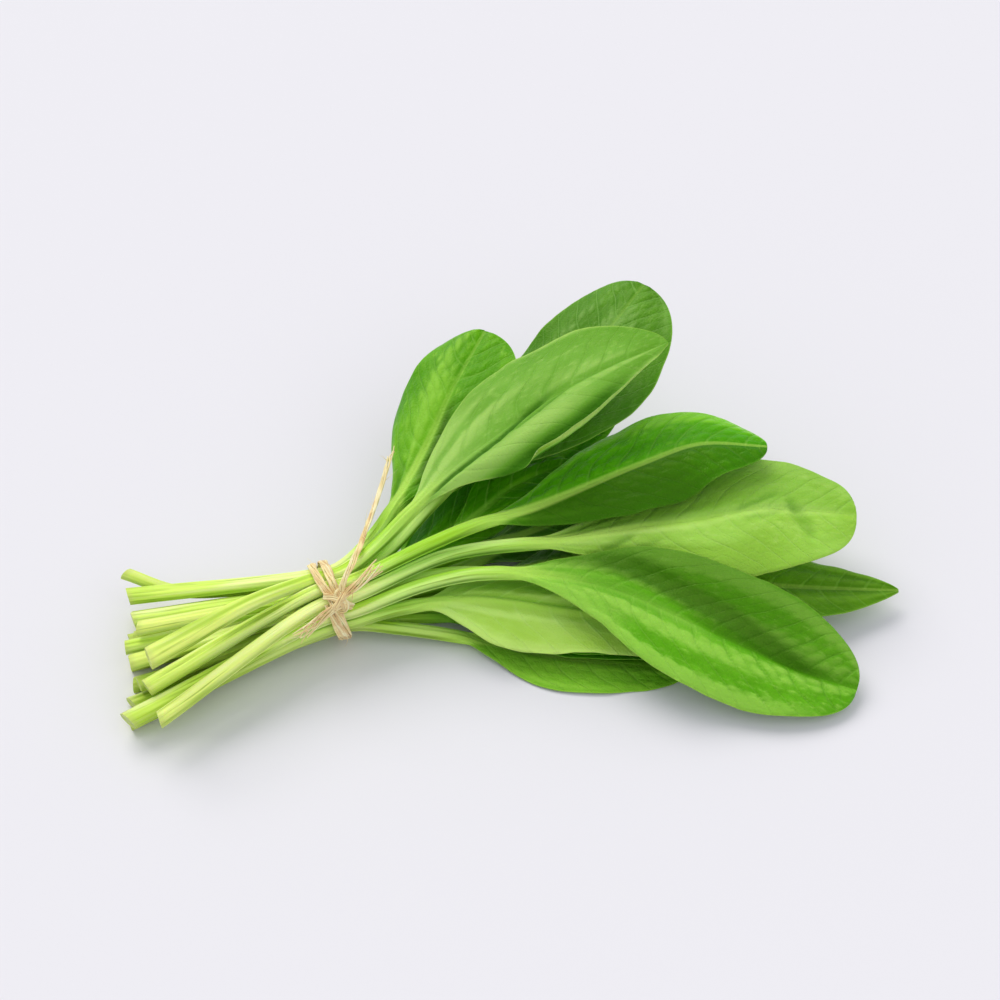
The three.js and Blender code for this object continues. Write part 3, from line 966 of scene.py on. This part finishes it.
        # Painted shade over each half, or painted light below 0, rising over the foot of the blade and
        # easing towards the tip; the creases add their own.
        dark = mix(*self.tone, ease(grid.signed / -3 + 0.5)) * ease(grid.blade / 0.2)
        dark = dark * (1 - 0.4 * ease((grid.blade - 0.6) / 0.4))
        sunk = np.zeros_like(dark)
        for crease in self.creases:
            inside = crease.at(grid.blade * self.length, grid.signed)
            sunk = sunk + crease.depth * inside
            dark = dark + crease.dark * inside
        return sunk, np.clip(dark, -1, 1)

    def vein_places(self, grid: Grid) -> tuple[Array, Array]:
        """Says where each point is among the veins.

        Args:
            grid: The skin's points.

        Returns:
            A number that is whole on each vein that leaves the midrib, and one that is whole on
            each vein that joins those.
        """
        ahead = self.VEIN_LEAN * grid.out * (np.maximum(grid.out, 0.1) / max(self.half)) ** 0.3
        along = grid.blade * self.length
        bent = self.VEIN_BEND * self.rough.at(along / 14, grid.signed / 9 + 20)
        across = (along - ahead) / VEIN_SPACING + np.where(grid.signed < 0, self.FAR_SHIFT, 0.0) + bent
        crossing = grid.out / CROSS_SPACING + 0.3 * self.rough.at(along / 5 + 30, grid.signed / 5)
        return across + 10, crossing

    def relief(self, grid: Grid, veins: tuple[Array, Array]) -> Array:
        """Raises the blade between its veins, and sinks it along them and the midrib.

        Args:
            grid: The skin's points.
            veins: Where each of them is among the veins.

        Returns:
            How high each point is lifted.
        """
        across, crossing = veins
        shifted = crossing + (np.floor(across * 2) * GOLDEN) % 1
        pillow = np.abs(np.sin(math.pi * across * 2) * np.sin(math.pi * shifted)) ** 0.7
        near = np.abs(across - np.round(across)) * VEIN_SPACING
        groove = np.exp(-((near / self.GROOVE_WIDTH) ** 2)) * (1 - 0.7 * grid.outward)
        margin = 1 - self.MARGIN_FADE * ease((grid.outward - self.MARGIN) / (1 - self.MARGIN))
        clear = ease((grid.out - grid.rib) / self.RIB_CLEARANCE) * ease(grid.blade / self.FOOT) * margin
        valley = np.exp(-((grid.out / self.VALLEY_WIDTH) ** 2)) * ease((grid.blade - self.FOOT) / 0.25)
        rise = self.quilt * (pillow - 0.3) - self.GROOVE * groove
        facing = -1.0 if self.underside else 1.0
        return facing * (clear * rise - self.VALLEY * valley)

    def build(self) -> None:
        """Makes the leaf's mesh from a sphere and dresses it."""
        places, told = self.skin()
        rows, around = places.shape[:2]
        sphere = bpy.ops.mesh.primitive_uv_sphere_add
        piece = new_primitive("spinach_" + self.name, sphere, segments=around, ring_count=rows + 1)
        mesh = piece.data
        start = np.empty(len(mesh.vertices) * 3, np.float32)
        mesh.vertices.foreach_get("co", start)
        x, y, z = start.reshape(-1, 3).T
        ring = np.rint(np.arccos(np.clip(z, -1, 1)) / math.pi * (rows + 1)).astype(int)
        column = np.rint(np.arctan2(y, x) / (2 * math.pi) * around).astype(int) % around
        row = np.clip(rows - ring, 0, rows - 1)
        placed = places[row, column]
        for pole, end in ((0, -1), (rows + 1, 0)):
            placed[ring == pole] = places[end].mean(axis=0)
        mesh.vertices.foreach_set("co", ((placed - ORIGIN) * MM).ravel())
        for name, values in told.items():
            kind, key = ("FLOAT", "value") if values.shape[-1] == 1 else ("FLOAT_VECTOR", "vector")
            spread = mesh.attributes.new(name, kind, "POINT")
            spread.data.foreach_set(key, values[row, column].ravel())
        mesh.materials.append(self.kind.value.material(self.name + "_finish", self))
        select_only(piece)
        bpy.ops.object.shade_smooth_by_angle(angle=math.radians(60))
        hand_over(piece, "leaf", self.name)


def select_only(piece: bpy.types.Object | None = None) -> None:
    """Selects one piece and makes it active, or selects nothing.

    Args:
        piece: The piece, if any.
    """
    bpy.ops.object.select_all(action="DESELECT")
    if piece:
        piece.select_set(True)
        bpy.context.view_layer.objects.active = piece


def new_primitive(name: str, operator: object, **settings: object) -> bpy.types.Object:
    """Adds a primitive with nothing else selected.

    Args:
        name: The name that it and its data get.
        operator: The operator that adds it.
        settings: The operator's settings.

    Returns:
        The new object.
    """
    select_only()
    operator(**settings)
    piece = bpy.context.object
    piece.name = name
    piece.data.name = name
    return piece


def hand_over(piece: bpy.types.Object, slot: str, *nodes: str) -> None:
    """Puts a finished piece on the bunch's body.

    Args:
        piece: The piece.
        slot: The material slot that it belongs to; not used.
        nodes: The nodes that it replaces, if any.
    """
    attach(piece, ROOT)
    if nodes:
        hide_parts(*nodes)
    LOG.info("%s has %d faces", piece.name, len(piece.data.polygons))


# Each leaf's tone and the dark of its creases are painted shade, or painted light below 0: halves turned
# away from the light, shadows cast by the leaves above and where leaves touch, and pale bands of painted
# highlight.
LEAVES = [
    Leaf(  # stands up at the back left
        "leaf_01", Kind.BRIGHT, tie=(2, 45), stem=[(73, 29, 17)], flare=1.3,
        route=[(17, 23, 31), (29, 46, 37), (37, 63, 43), (45, 81, 51), (59, 109, 60)],
        length=92, half=(27, 22), widest=0.58, tip=(2.1, 2.1), roll=(20, 5), fold=(8, 6),
        curl=(-20, -30), wave=(1.4, 2.5, 0), quilt=0.5, pleat=1.4,
        creases=(Crease(((12, 4.6), (28, 4.4), (44, 3.8), (62, 2.6)), 2.4, 0.9, 1.0),),
    ),
    Leaf(  # large, on top, leaning back
        "leaf_02", Kind.SOFT, tie=(2, 75), stem=[(75, -18, 32), (32, -4, 32)], flare=1.7,
        route=[(17, 12, 34), (31, 23, 43), (50, 41, 52), (86, 63, 66), (108, 74, 72), (131, 85, 75)],
        length=128, half=(25, 30), widest=0.56, tip=(1.15, 1.9), roll=(10, 5), fold=(22, 8),
        curl=(-60, -15), wave=(1.4, 2, 60), quilt=0.12, pleat=0.8, lip=(0.36, 0.98, 140),
        creases=(
            Crease(((-6, 0), (19, 3), (34, 4.8), (49, 5), (62, 1.5), (84, -4)), 1.4, 1.4, 1.9),
            Crease(((50, 7), (66, 5), (86, 0)), 1.0, 0.7, 0.7),
            Crease(((-6, 3.5), (32, 9), (48, 11.5), (72, 11), (100, 8)), 5.4, -1.5, -1.0),
            Crease(((10, 13), (46, 19), (60, 20.5), (76, 19.5), (88, 16), (112, 8.5)), 2.6, 1.2, 1.6),
            Crease(((52, 25), (67, 25.5), (88, 20.5), (103, 14), (116, 8), (136, 1)), 1.4, 0, -1.6),
        ),
    ),
    Leaf(  # broad, behind it
        "leaf_03", Kind.COOL, tie=(1, 30), stem=[(74, 17, 16)],
        route=[(20, 18, 24), (39, 40, 31), (67, 69, 41), (96, 97, 51), (124, 131, 66)],
        length=128, half=(33, 27), widest=0.6, tip=(2.1, 2.3), roll=(8, 5), curl=(-8, -10),
        wave=(1.2, 2.5, 0), quilt=0.55, pleat=1.0,
    ),
    Leaf(  # glossy, to the right of them
        "leaf_04", Kind.FRESH, tie=(2, 105), stem=[(77, -16, 14)], flare=1.3,
        route=[(38, 12, 36), (55, 20, 38), (80, 28, 41), (120, 45, 47), (143, 54, 49), (170, 55, 47)],
        length=122, half=(19, 22), widest=0.6, tip=(1.8, 1.8), roll=(5, 10), fold=(-15, 10),
        curl=(-20, -20), wave=(1.3, 2.2, 90), quilt=0.5, pleat=1.0, tone=(0.95, 0),
    ),
    Leaf(  # at the right end of the pile
        "leaf_05", Kind.PALE, tie=(2, 135), stem=[(77, -36, 18)], flare=1.1,
        route=[(45, 12, 30), (88, 18, 32), (119, 23, 34), (142, 26, 35), (166, 31, 36), (204, 31, 33)],
        length=132, half=(24, 25), widest=0.66, tip=(2.4, 2.6), fold=(-20, 6), curl=(-15, -10),
        wave=(1.6, 2.5, 30), quilt=0.25, pleat=1.1, tone=(0, 0.5),
        creases=(
            Crease(((103, -5), (108, 0), (112, 6), (118, 12)), 2.6, 1.6, 0.4),
            Crease(((82, 0), (94, -4), (106, -10)), 1.2, 0.7, 0.3),
            Crease(((84, 4), (96, 3), (106, 0)), 1.2, 0.6, 0.25),
            Crease(((20, 9), (34, 6), (46, 2)), 1.4, 0.9, 0.6),
            Crease(((24, 14), (40, 10), (58, 6)), 1.6, 0.8, 0.4),
        ),
    ),
    Leaf(  # large, at the front right
        "leaf_06", Kind.QUILTED, tie=(2, 165), stem=[(87, -25, 9)], flare=1.5,
        route=[
            (36, 1, 25), (57, 5, 27), (82, 3, 28), (110, -4, 27), (133, -14, 23), (163, -25, 15),
            (200, -35, 5.5),
        ],
        length=146, half=(24, 27), widest=0.6, tip=(2.3, 2.3), roll=(-5, -5), fold=(5, 24),
        curl=(-30, -16), wave=(1.2, 2.5, 0), quilt=0.6, pleat=1.0, tone=(0, 0.7),
        creases=(
            Crease(((24, -10), (50, -11), (88, -9), (122, -1), (150, 3)), 3.6, 1.8, 0.8),
            Crease(((4, -1), (40, -2), (66, -1), (96, 2)), 3.2, -0.5, -1.0),
            Crease(((8, 4), (40, 6), (80, 8)), 3.5, -0.5, -0.3),
            Crease(((6, 6), (34, 12), (62, 15)), 6.0, -0.4, -0.8),
        ),
    ),
    Leaf(  # pointed, at the far right
        "leaf_07", Kind.OLIVE, tie=(1, 150), stem=[(80, -3, 15.5)], girth=0.95,
        route=[(40, 9, 22), (70, 10, 22), (104, 11, 20), (151, 11, 16), (182, 11, 13), (221, 13, 9)],
        length=112, half=(20, 18), widest=0.5, tip=(1.25, 1.25), fold=(4, 8), curl=(-10, -10),
        quilt=0.25, tone=(0.2, 0),
    ),
    Leaf(  # upside down, at the front
        "leaf_08", Kind.PALE, tie=(2, 195), stem=[(86, -20, 2.5)], flare=1.3,
        route=[(27, -4, 17), (53, 0, 17), (88, -3, 14.5), (122, -8, 13), (149, -13, 10)],
        length=120, half=(17, 18), widest=0.34, fold=(-5, 0), curl=(-25, -10), underside=True,
        quilt=0.25,
    ),
    Leaf(  # on the surface, at the front
        "leaf_09", Kind.BRIGHT, tie=(2, 225), stem=[(83, -12, 2.5)], girth=0.95,
        route=[
            (26, -6, 8), (50, -7.5, 4.5), (65, -10, 2.6), (88, -15, 1.3), (111, -18, 1),
            (137, -21, 0.8),
        ],
        length=92, half=(15, 18), widest=0.5, curl=(0, 0), wave=(0.4, 2, 0), tone=(-0.7, 0.6),
    ),
    Leaf(  # small, between the large ones
        "leaf_10", Kind.DARK, tie=(1, 90), stem=[(74, 7, 22)], girth=0.9,
        route=[(24, 12, 27), (44, 22, 29), (57, 34, 31), (69, 46, 32), (93, 60, 34)],
        length=62, half=(12, 10), widest=0.5, tip=(1.7, 1.7), fold=(10, 10), curl=(-10, -10),
    ),
    Leaf(  # low, along the middle
        "leaf_11", Kind.DARK, tie=(1, 210), stem=[(79, -9, 9)], flare=1.1, girth=0.95,
        route=[(40, 3, 12), (75, 3, 9.5), (110, 1, 8.5), (140, 0, 8), (170, -2, 7)],
        length=128, half=(19, 19), widest=0.48, curl=(-5, -5), wave=(0.8, 2, 0), hidden=True,
    ),
    Leaf(  # on the surface, at the back
        "leaf_12", Kind.BRIGHT, tie=(2, 345), stem=[(72, 30, 2.5)],
        route=[(28, 26, 7), (50, 48, 2.6), (75, 74, 1.2), (95, 97, 0.9), (108, 114, 0.7)],
        length=132, half=(14, 28), widest=0.4, tip=(2.1, 2.1), curl=(0, 8), wave=(0.5, 2, 0),
        hidden=True,
    ),
    Leaf(  # under the one that stands up, with a thin stem
        "leaf_13", Kind.BRIGHT, tie=(2, 15), stem=[(71, 40, 18), (52, 28, 13)], flare=1, girth=0.85,
        route=[(15, 27, 22), (31, 50, 29), (43, 72, 33), (51, 90, 35), (57, 106, 35)],
        length=84, half=(20, 19), widest=0.56, fold=(6, 4), curl=(-15, -25), hidden=True,
    ),
    Leaf(  # low, at the back
        "leaf_14", Kind.COOL, tie=(2, 315), stem=[(76, 19, 2.5)], flare=1.1,
        route=[(36, 20, 6), (65, 38, 5.5), (95, 55, 5.5), (120, 68, 5), (142, 78, 5)],
        length=104, half=(19, 18), widest=0.5, curl=(-5, -5), wave=(0.6, 2, 0), hidden=True,
    ),
    Leaf(  # on the surface, in the middle
        "leaf_15", Kind.BRIGHT, tie=(2, 285), stem=[(79, 8, 2.5)],
        route=[(40, 12, 4), (80, 20, 2), (115, 28, 1.3), (150, 34, 0.9), (178, 38, 0.8)],
        length=110, half=(19, 18), widest=0.55, tip=(1.8, 1.8), curl=(4, 0), wave=(0.5, 2, 0),
        hidden=True,
    ),
    Leaf(  # low, at the front
        "leaf_16", Kind.DARK, tie=(2, 255), stem=[(80, -3, 2.5)], flare=1.1,
        route=[(40, 3, 5), (75, 2, 5), (105, -3, 4.8), (130, -6, 4.6), (152, -9, 4)],
        length=116, half=(15, 15), widest=0.5, curl=(-5, -5), wave=(0.5, 2, 0), hidden=True,
    ),
    Leaf(  # inside, low
        "leaf_17", Kind.COOL, tie=(1, 270), stem=[(77, 3, 9)], flare=1, girth=0.95,
        route=[(40, 13, 10), (75, 22, 11.5), (105, 31, 11.5), (135, 37, 11), (160, 42, 9)],
        length=100, half=(17, 18), widest=0.55, tip=(1.9, 1.9), fold=(3, 5), curl=(-10, -10),
        wave=(0.8, 2, 0), hidden=True,
    ),
    Leaf(  # inside, under the broad ones
        "leaf_18", Kind.DARK, tie=(1, 330), stem=[(75, 14, 9.5)], flare=1, girth=0.95,
        route=[(34, 26, 18), (62, 50, 24), (84, 68, 28), (99, 81, 30), (112, 91, 31)],
        length=120, half=(13, 22), widest=0.42, roll=(5, 5), fold=(0, 5), hidden=True,
    ),
    Leaf(  # inside, half way up
        "leaf_19", Kind.COOL, tie=(0, 0), stem=[(80, 5, 15.5)], flare=1, girth=0.95,
        route=[(40, 17, 20), (72, 30, 22), (100, 42, 24), (125, 51, 25), (148, 58, 24)],
        length=96, half=(19, 19), widest=0.56, fold=(5, 0), hidden=True,
    ),
]


# ---------------------------------------------------------------- twine


@dataclass(frozen=True)
class TwineFinish:
    """One tone of the twine's dry plant fibre."""

    name: str
    light: str
    dark: str

    PATCHES = 160  # scale of the broad tones
    GRAIN = 1400  # and of the fine ones

    def material(self) -> bpy.types.Material:
        """Makes the fibre's material: dull, and darker in patches and in its grain.

        Returns:
            The material.
        """
        g = Graph(self.name)
        place = g.add("TexCoord").outputs["Object"]
        patches = g.noise(place, self.PATCHES, 3)
        grain = g.noise(place, self.GRAIN, 2)
        colour = g.blend(g.step(patches, 0.35, 0.7), linear(self.light), linear(self.dark))
        height = g.sum("ADD", grain, g.times(patches, 0.5))
        surface = {
            "Base Color": g.tint(colour, g.step(grain, 0.45, 0.75), 0.35, self.dark),
            "Normal": g.bump(height, 0.6, 0.15 * MM),
            "Roughness": 0.85,
            "Sheen Weight": 0.25,
            "Sheen Roughness": 0.5,
        }
        g.feed(g.shader, surface)
        return g.material


@dataclass(frozen=True)
class Bundle:
    """How the fibres of one stretch of twine lie."""

    fibres: int
    slim: float = 1.0  # size, as a share of the turns' own
    frayed: bool = False  # whether the fibres part at the stretch's end
    wisps: int = 0  # hair-thin fibres that have come loose


@dataclass
class Twine:
    """One length of twine: twice round the stems, a knot, and loose ends that fray.

    It is laid as thin fibres that wind loosely about its path. Points beside the tie are
    distance along the bunch, distance from the middle of the stems, and clock angle.
    """

    turn_radius: float = 15.1
    turns: tuple[Pair, Pair] = ((-1.6, -13), (1.3, -6))  # along the bunch, and lean
    stem_bumps: float = 0.35  # how far the stems push it out
    crossing_over: float = 1.1  # how far the second turn rises over the first
    knot_place: Place = (0, 17.4, 135)
    knot_reach: Place = (2.5, 1.5, 4.0)
    crossings: tuple[Route, ...] = (
        ((-5, 15.6, 124), (-2, 18.6, 130), (2, 18.6, 140), (5, 15.6, 147)),
        ((-5, 15.6, 147), (-2, 19.2, 140), (2, 19.2, 130), (5, 15.6, 124)),
    )
    short_ends: tuple[Route, ...] = (
        ((0, 18, 139), (-7, 18.5, 147), (-14, 19.5, 157), (-20, 20, 166)),
        ((0, 18, 132), (8, 19, 122), (15, 21.5, 113), (20, 24, 108)),
    )
    long_end: Route = (  # places as in a leaf's route
        (4.2, -11.6, 30), (6, -6, 35), (9, 2, 36.5), (12.3, 16.5, 35), (17, 34, 38), (22.7, 61, 41),
    )
    turns_bundle: Bundle = Bundle(10, wisps=26)
    knot_bundle: Bundle = Bundle(8, slim=0.8)
    crossing_bundle: Bundle = Bundle(8, slim=0.85)
    short_bundle: Bundle = Bundle(9, slim=0.9, frayed=True, wisps=10)
    long_bundle: Bundle = Bundle(8, slim=0.75, frayed=True, wisps=14)
    fibre_radius: float = 0.4
    wisp_radius: float = 0.11
    width: float = 1.7  # of the wound fibres, out from the path
    depth: float = 0.4
    lay: float = 55.0  # length in which the fibres go once round the path
    fraying: float = 7.0  # length over which a loose end opens out
    longest_cut: float = 5.0  # by which a frayed fibre is shorter than the others
    tones: tuple[TwineFinish, ...] = (
        TwineFinish("twine_pale", "fff6c8", "f0dc9c"),
        TwineFinish("twine_tan", "ffeeb0", "e8ca88"),
        TwineFinish("twine_brown", "f4dca4", "d8b074"),
    )
    draw: np.random.Generator = field(default_factory=lambda: np.random.default_rng(7))

    TURN_SAMPLES = 240
    KNOT_SAMPLES = 90
    WISP_SAMPLES = 8
    BUMPS = 12  # stems that push the turns out
    FIRST_BUMP = math.radians(15)
    CROSSING = 0.03  # share of the turns in which the second rises over the first

    def middle(self, path: Array) -> Array:
        """Finds the middle of the stems at each place on a path."""
        return UP * TIE_HEIGHT + AXIS * (path @ AXIS)[..., None]

    def turns_path(self) -> Array:
        """Gives the path of the two turns.

        Returns:
            Places from the knot round to it.
        """
        share = np.linspace(0, 1, self.TURN_SAMPLES)
        angle = np.radians(self.knot_place[2] + 360 * len(self.turns) * share)[:, None]
        (along_a, lean_a), (along_b, lean_b) = self.turns
        blended = ease((share - 0.4) / 0.2)
        along = mix(along_a, along_b, blended)[:, None]
        lean = np.radians(mix(lean_a, lean_b, blended))[:, None]
        bumps = self.stem_bumps * np.cos(self.BUMPS * (angle - self.FIRST_BUMP))
        over = np.exp(-(((share - 0.5) / self.CROSSING) ** 2))[:, None]
        radius = self.turn_radius + bumps + self.crossing_over * over
        upright = UP * np.cos(lean) + AXIS * np.sin(lean)
        centre = UP * TIE_HEIGHT + AXIS * along
        return centre + radius * (ACROSS * np.cos(angle) + upright * np.sin(angle))

    def knot_path(self) -> Array:
        """Gives the path of the knot, an overhand one.

        Returns:
            Places round the knot.
        """
        turn = np.linspace(0, 2 * math.pi, self.KNOT_SAMPLES)[:, None]
        place = beside(*self.knot_place)
        outward = unit(place - UP * TIE_HEIGHT)
        round_it = np.cross(AXIS, outward)
        along, out, across = self.knot_reach
        place = place + round_it * across / 3 * (np.sin(turn) + 2 * np.sin(2 * turn))
        place = place + AXIS * along / 3 * (np.cos(turn) - 2 * np.cos(2 * turn))
        return place - outward * out * np.sin(3 * turn)

    def smooth(self, points: list[Array]) -> Array:
        """Turns a few points into a fine path."""
        line = CentreLine(points)
        return line.at(np.linspace(0, line.total, max(12, int(line.total))))[0]

    def add_fibres(self, curve: bpy.types.Curve, path: Array, bundle: Bundle) -> None:
        """Winds fibres about a path.

        Args:
            curve: The curve that takes the fibres.
            path: Places along the path.
            bundle: How many fibres there are, and how they lie.
        """
        steps = np.linalg.norm(np.diff(path, axis=0), axis=1)
        length = np.concatenate([[0], np.cumsum(steps)])
        tangent = unit(np.gradient(path, axis=0))
        sideways = unit(np.cross(tangent, unit(path - self.middle(path))))
        outward = np.cross(sideways, tangent)
        loose = np.exp((length - length[-1]) / self.fraying) * bundle.frayed
        for number in range(bundle.fibres):
            phase = 2 * math.pi * (number + self.draw.uniform(-0.2, 0.2)) / bundle.fibres
            wander = Unevenness(int(self.draw.integers(1e6)))
            angle = 2 * math.pi * length / self.lay + phase
            spread = bundle.slim * (0.75 + 0.3 * wander.at(length / 9, 0.5) + 1.6 * loose)
            side = (self.width * spread * np.cos(angle))[:, None]
            lift = (self.depth * spread * np.sin(angle))[:, None]
            lift = lift + 0.15 * wander.at(length / 4, 7.5)[:, None]
            places = path + sideways * side + outward * lift
            cut = self.draw.uniform(0, self.longest_cut) if bundle.frayed else 0
            kept = length <= length[-1] - cut
            radius = self.fibre_radius * bundle.slim * self.draw.uniform(0.7, 1.15)
            radii = radius * (1 + 0.25 * wander.at(length / 5, 3.5)) * (1 - 0.6 * np.clip(loose, 0, 1))
            self.add_spline(curve, places[kept], radii[kept])

    def add_wisps(self, curve: bpy.types.Curve, path: Array, count: int) -> None:
        """Adds hair-thin fibres that have come loose from a path.

        Args:
            curve: The curve that takes them.
            path: Places along the path.
            count: How many.
        """
        tangent = unit(np.gradient(path, axis=0))
        share = np.linspace(0, 1, self.WISP_SAMPLES)[:, None]
        for _ in range(count):
            start = int(self.draw.integers(2, len(path) - 2))
            way = unit(tangent[start] * self.draw.choice([-1, 1]) + self.draw.normal(0, 0.45, 3))
            droop = unit(self.draw.normal(0, 1, 3))
            reach = self.draw.uniform(2.5, 9.0)
            begin = path[start] + unit(path[start] - self.middle(path[start])) * 0.5
            places = begin + way * reach * share + droop * reach * 0.35 * share**2
            self.add_spline(curve, places, self.wisp_radius * (1.1 - share[:, 0]))

    def add_spline(self, curve: bpy.types.Curve, places: Array, radii: Array) -> None:
        """Adds one fibre to a curve, above the floor, in a tone drawn by chance.

        Args:
            curve: The curve.
            places: Places along the fibre.
            radii: Its radius at each of them.
        """
        tone = int(self.draw.integers(len(self.tones)))
        places = places.copy()
        places[:, 2] = np.maximum(places[:, 2], radii)
        spline = curve.splines.new("POLY")
        spline.points.add(len(places) - 1)
        four = np.column_stack([(places - ORIGIN) * MM, np.ones(len(places))])
        spline.points.foreach_set("co", four.ravel())
        spline.points.foreach_set("radius", radii)
        spline.material_index = tone

    def make(self, name: str, stretches: list[tuple[Array, Bundle]], *nodes: str) -> None:
        """Makes one piece of the twine.

        Args:
            name: The piece's name.
            stretches: The paths in the piece, each with the bundle of fibres that follows it.
            nodes: The nodes that the piece replaces, if any.
        """
        piece = new_primitive(name, bpy.ops.curve.primitive_nurbs_path_add, radius=1)
        curve = piece.data
        curve.splines.clear()
        curve.dimensions = "3D"
        curve.bevel_depth = MM
        curve.bevel_resolution = 1
        curve.use_fill_caps = True
        for tone in self.tones:
            curve.materials.append(bpy.data.materials.get(tone.name) or tone.material())
        for path, bundle in stretches:
            self.add_fibres(curve, path, bundle)
            self.add_wisps(curve, path, bundle.wisps)
        select_only(piece)
        bpy.ops.object.convert(target="MESH")
        piece.data.name = name
        hand_over(piece, "twine", *nodes)

    def build(self) -> None:
        """Makes the turns, the knot and the loose ends."""
        crossings, short = (
            [self.smooth([beside(*p) for p in route]) for route in routes]
            for routes in (self.crossings, self.short_ends)
        )
        long = self.smooth([np.array(p, float) for p in self.long_end])
        knot = [(self.knot_path(), self.knot_bundle)]
        knot += [(path, self.crossing_bundle) for path in crossings]
        ends = [(path, self.short_bundle) for path in short] + [(long, self.long_bundle)]
        self.make("twine_turns", [(self.turns_path(), self.turns_bundle)], "twine_tie")
        self.make("twine_knot", knot)
        self.make("twine_ends", ends)


# ---------------------------------------------------------------- studio


@dataclass(frozen=True)
class Lamp:
    """One wide, far lamp."""

    name: str
    way: Place  # that its light comes from
    width: float  # how wide it looks, in degrees
    strength: float
    colour: str

    def build(self) -> None:
        """Hangs the lamp."""
        way = Vector(self.way)
        bpy.ops.object.light_add(type="SUN", location=way)
        lamp = bpy.context.object
        lamp.name = self.name
        lamp.data.angle = math.radians(self.width)
        lamp.data.energy = self.strength
        lamp.data.color = linear(self.colour)[:3]
        lamp.rotation_euler = way.to_track_quat("Z", "Y").to_euler()


@dataclass
class Studio:
    """The pale floor, the soft lights and the camera. Sizes are in metres."""

    target: Place = (-0.0049, 0.0146, 0.020)
    distance: float = 0.944
    height_angle: float = 45.0
    lens: float = 85.0
    sensor: float = 36.0
    nearest: float = 0.02  # that the camera sees
    floor_side: float = 60.0
    floor_colour: str = "e6e5ea"
    sky_colour: str = "f8f9ff"
    sky_strength: float = 0.57
    lamps: tuple[Lamp, ...] = (
        Lamp("lamp_0", (-0.5, 0.75, 1.0), 45, 1.78, "fffcf6"),
        Lamp("lamp_1", (0.5, -0.7, 1.1), 60, 0.55, "f8fbff"),
    )

    def build(self) -> None:
        """Sets up the floor, the sky, the lamps and the camera."""
        bpy.context.scene.view_settings.view_transform = "Standard"
        self.build_floor()
        self.build_sky()
        for lamp in self.lamps:
            lamp.build()
        self.build_camera()

    def build_floor(self) -> None:
        """Lays a plain floor."""
        floor = new_primitive("floor", bpy.ops.mesh.primitive_plane_add, size=self.floor_side)
        g = Graph("floor_paper")
        g.feed(g.shader, {"Base Color": linear(self.floor_colour), "Roughness": 0.9})
        floor.data.materials.append(g.material)

    def build_sky(self) -> None:
        """Lights everything a little from all round."""
        world = bpy.data.worlds.new("studio")
        world.use_nodes = True
        light = world.node_tree.nodes["Background"]
        light.inputs["Color"].default_value = linear(self.sky_colour)
        light.inputs["Strength"].default_value = self.sky_strength
        bpy.context.scene.world = world

    def build_camera(self) -> None:
        """Places the camera."""
        angle = math.radians(self.height_angle)
        away = Vector((0, -math.cos(angle), math.sin(angle))) * self.distance
        bpy.ops.object.camera_add(location=Vector(self.target) + away)
        camera = bpy.context.object
        camera.rotation_euler = (math.radians(90) - angle, 0, 0)
        camera.data.lens = self.lens
        camera.data.sensor_width = self.sensor
        camera.data.clip_start = self.nearest
        bpy.context.scene.camera = camera


def main() -> None:
    """Builds the studio, the leaves and the twine; each leaf and piece of twine logs how many faces it has.
    """
    logging.basicConfig(level=logging.INFO, format="%(message)s")
    Studio().build()
    for leaf in LEAVES:
        leaf.build()
    Twine().build()
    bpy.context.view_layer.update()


if __name__ == "__main__":
    main()
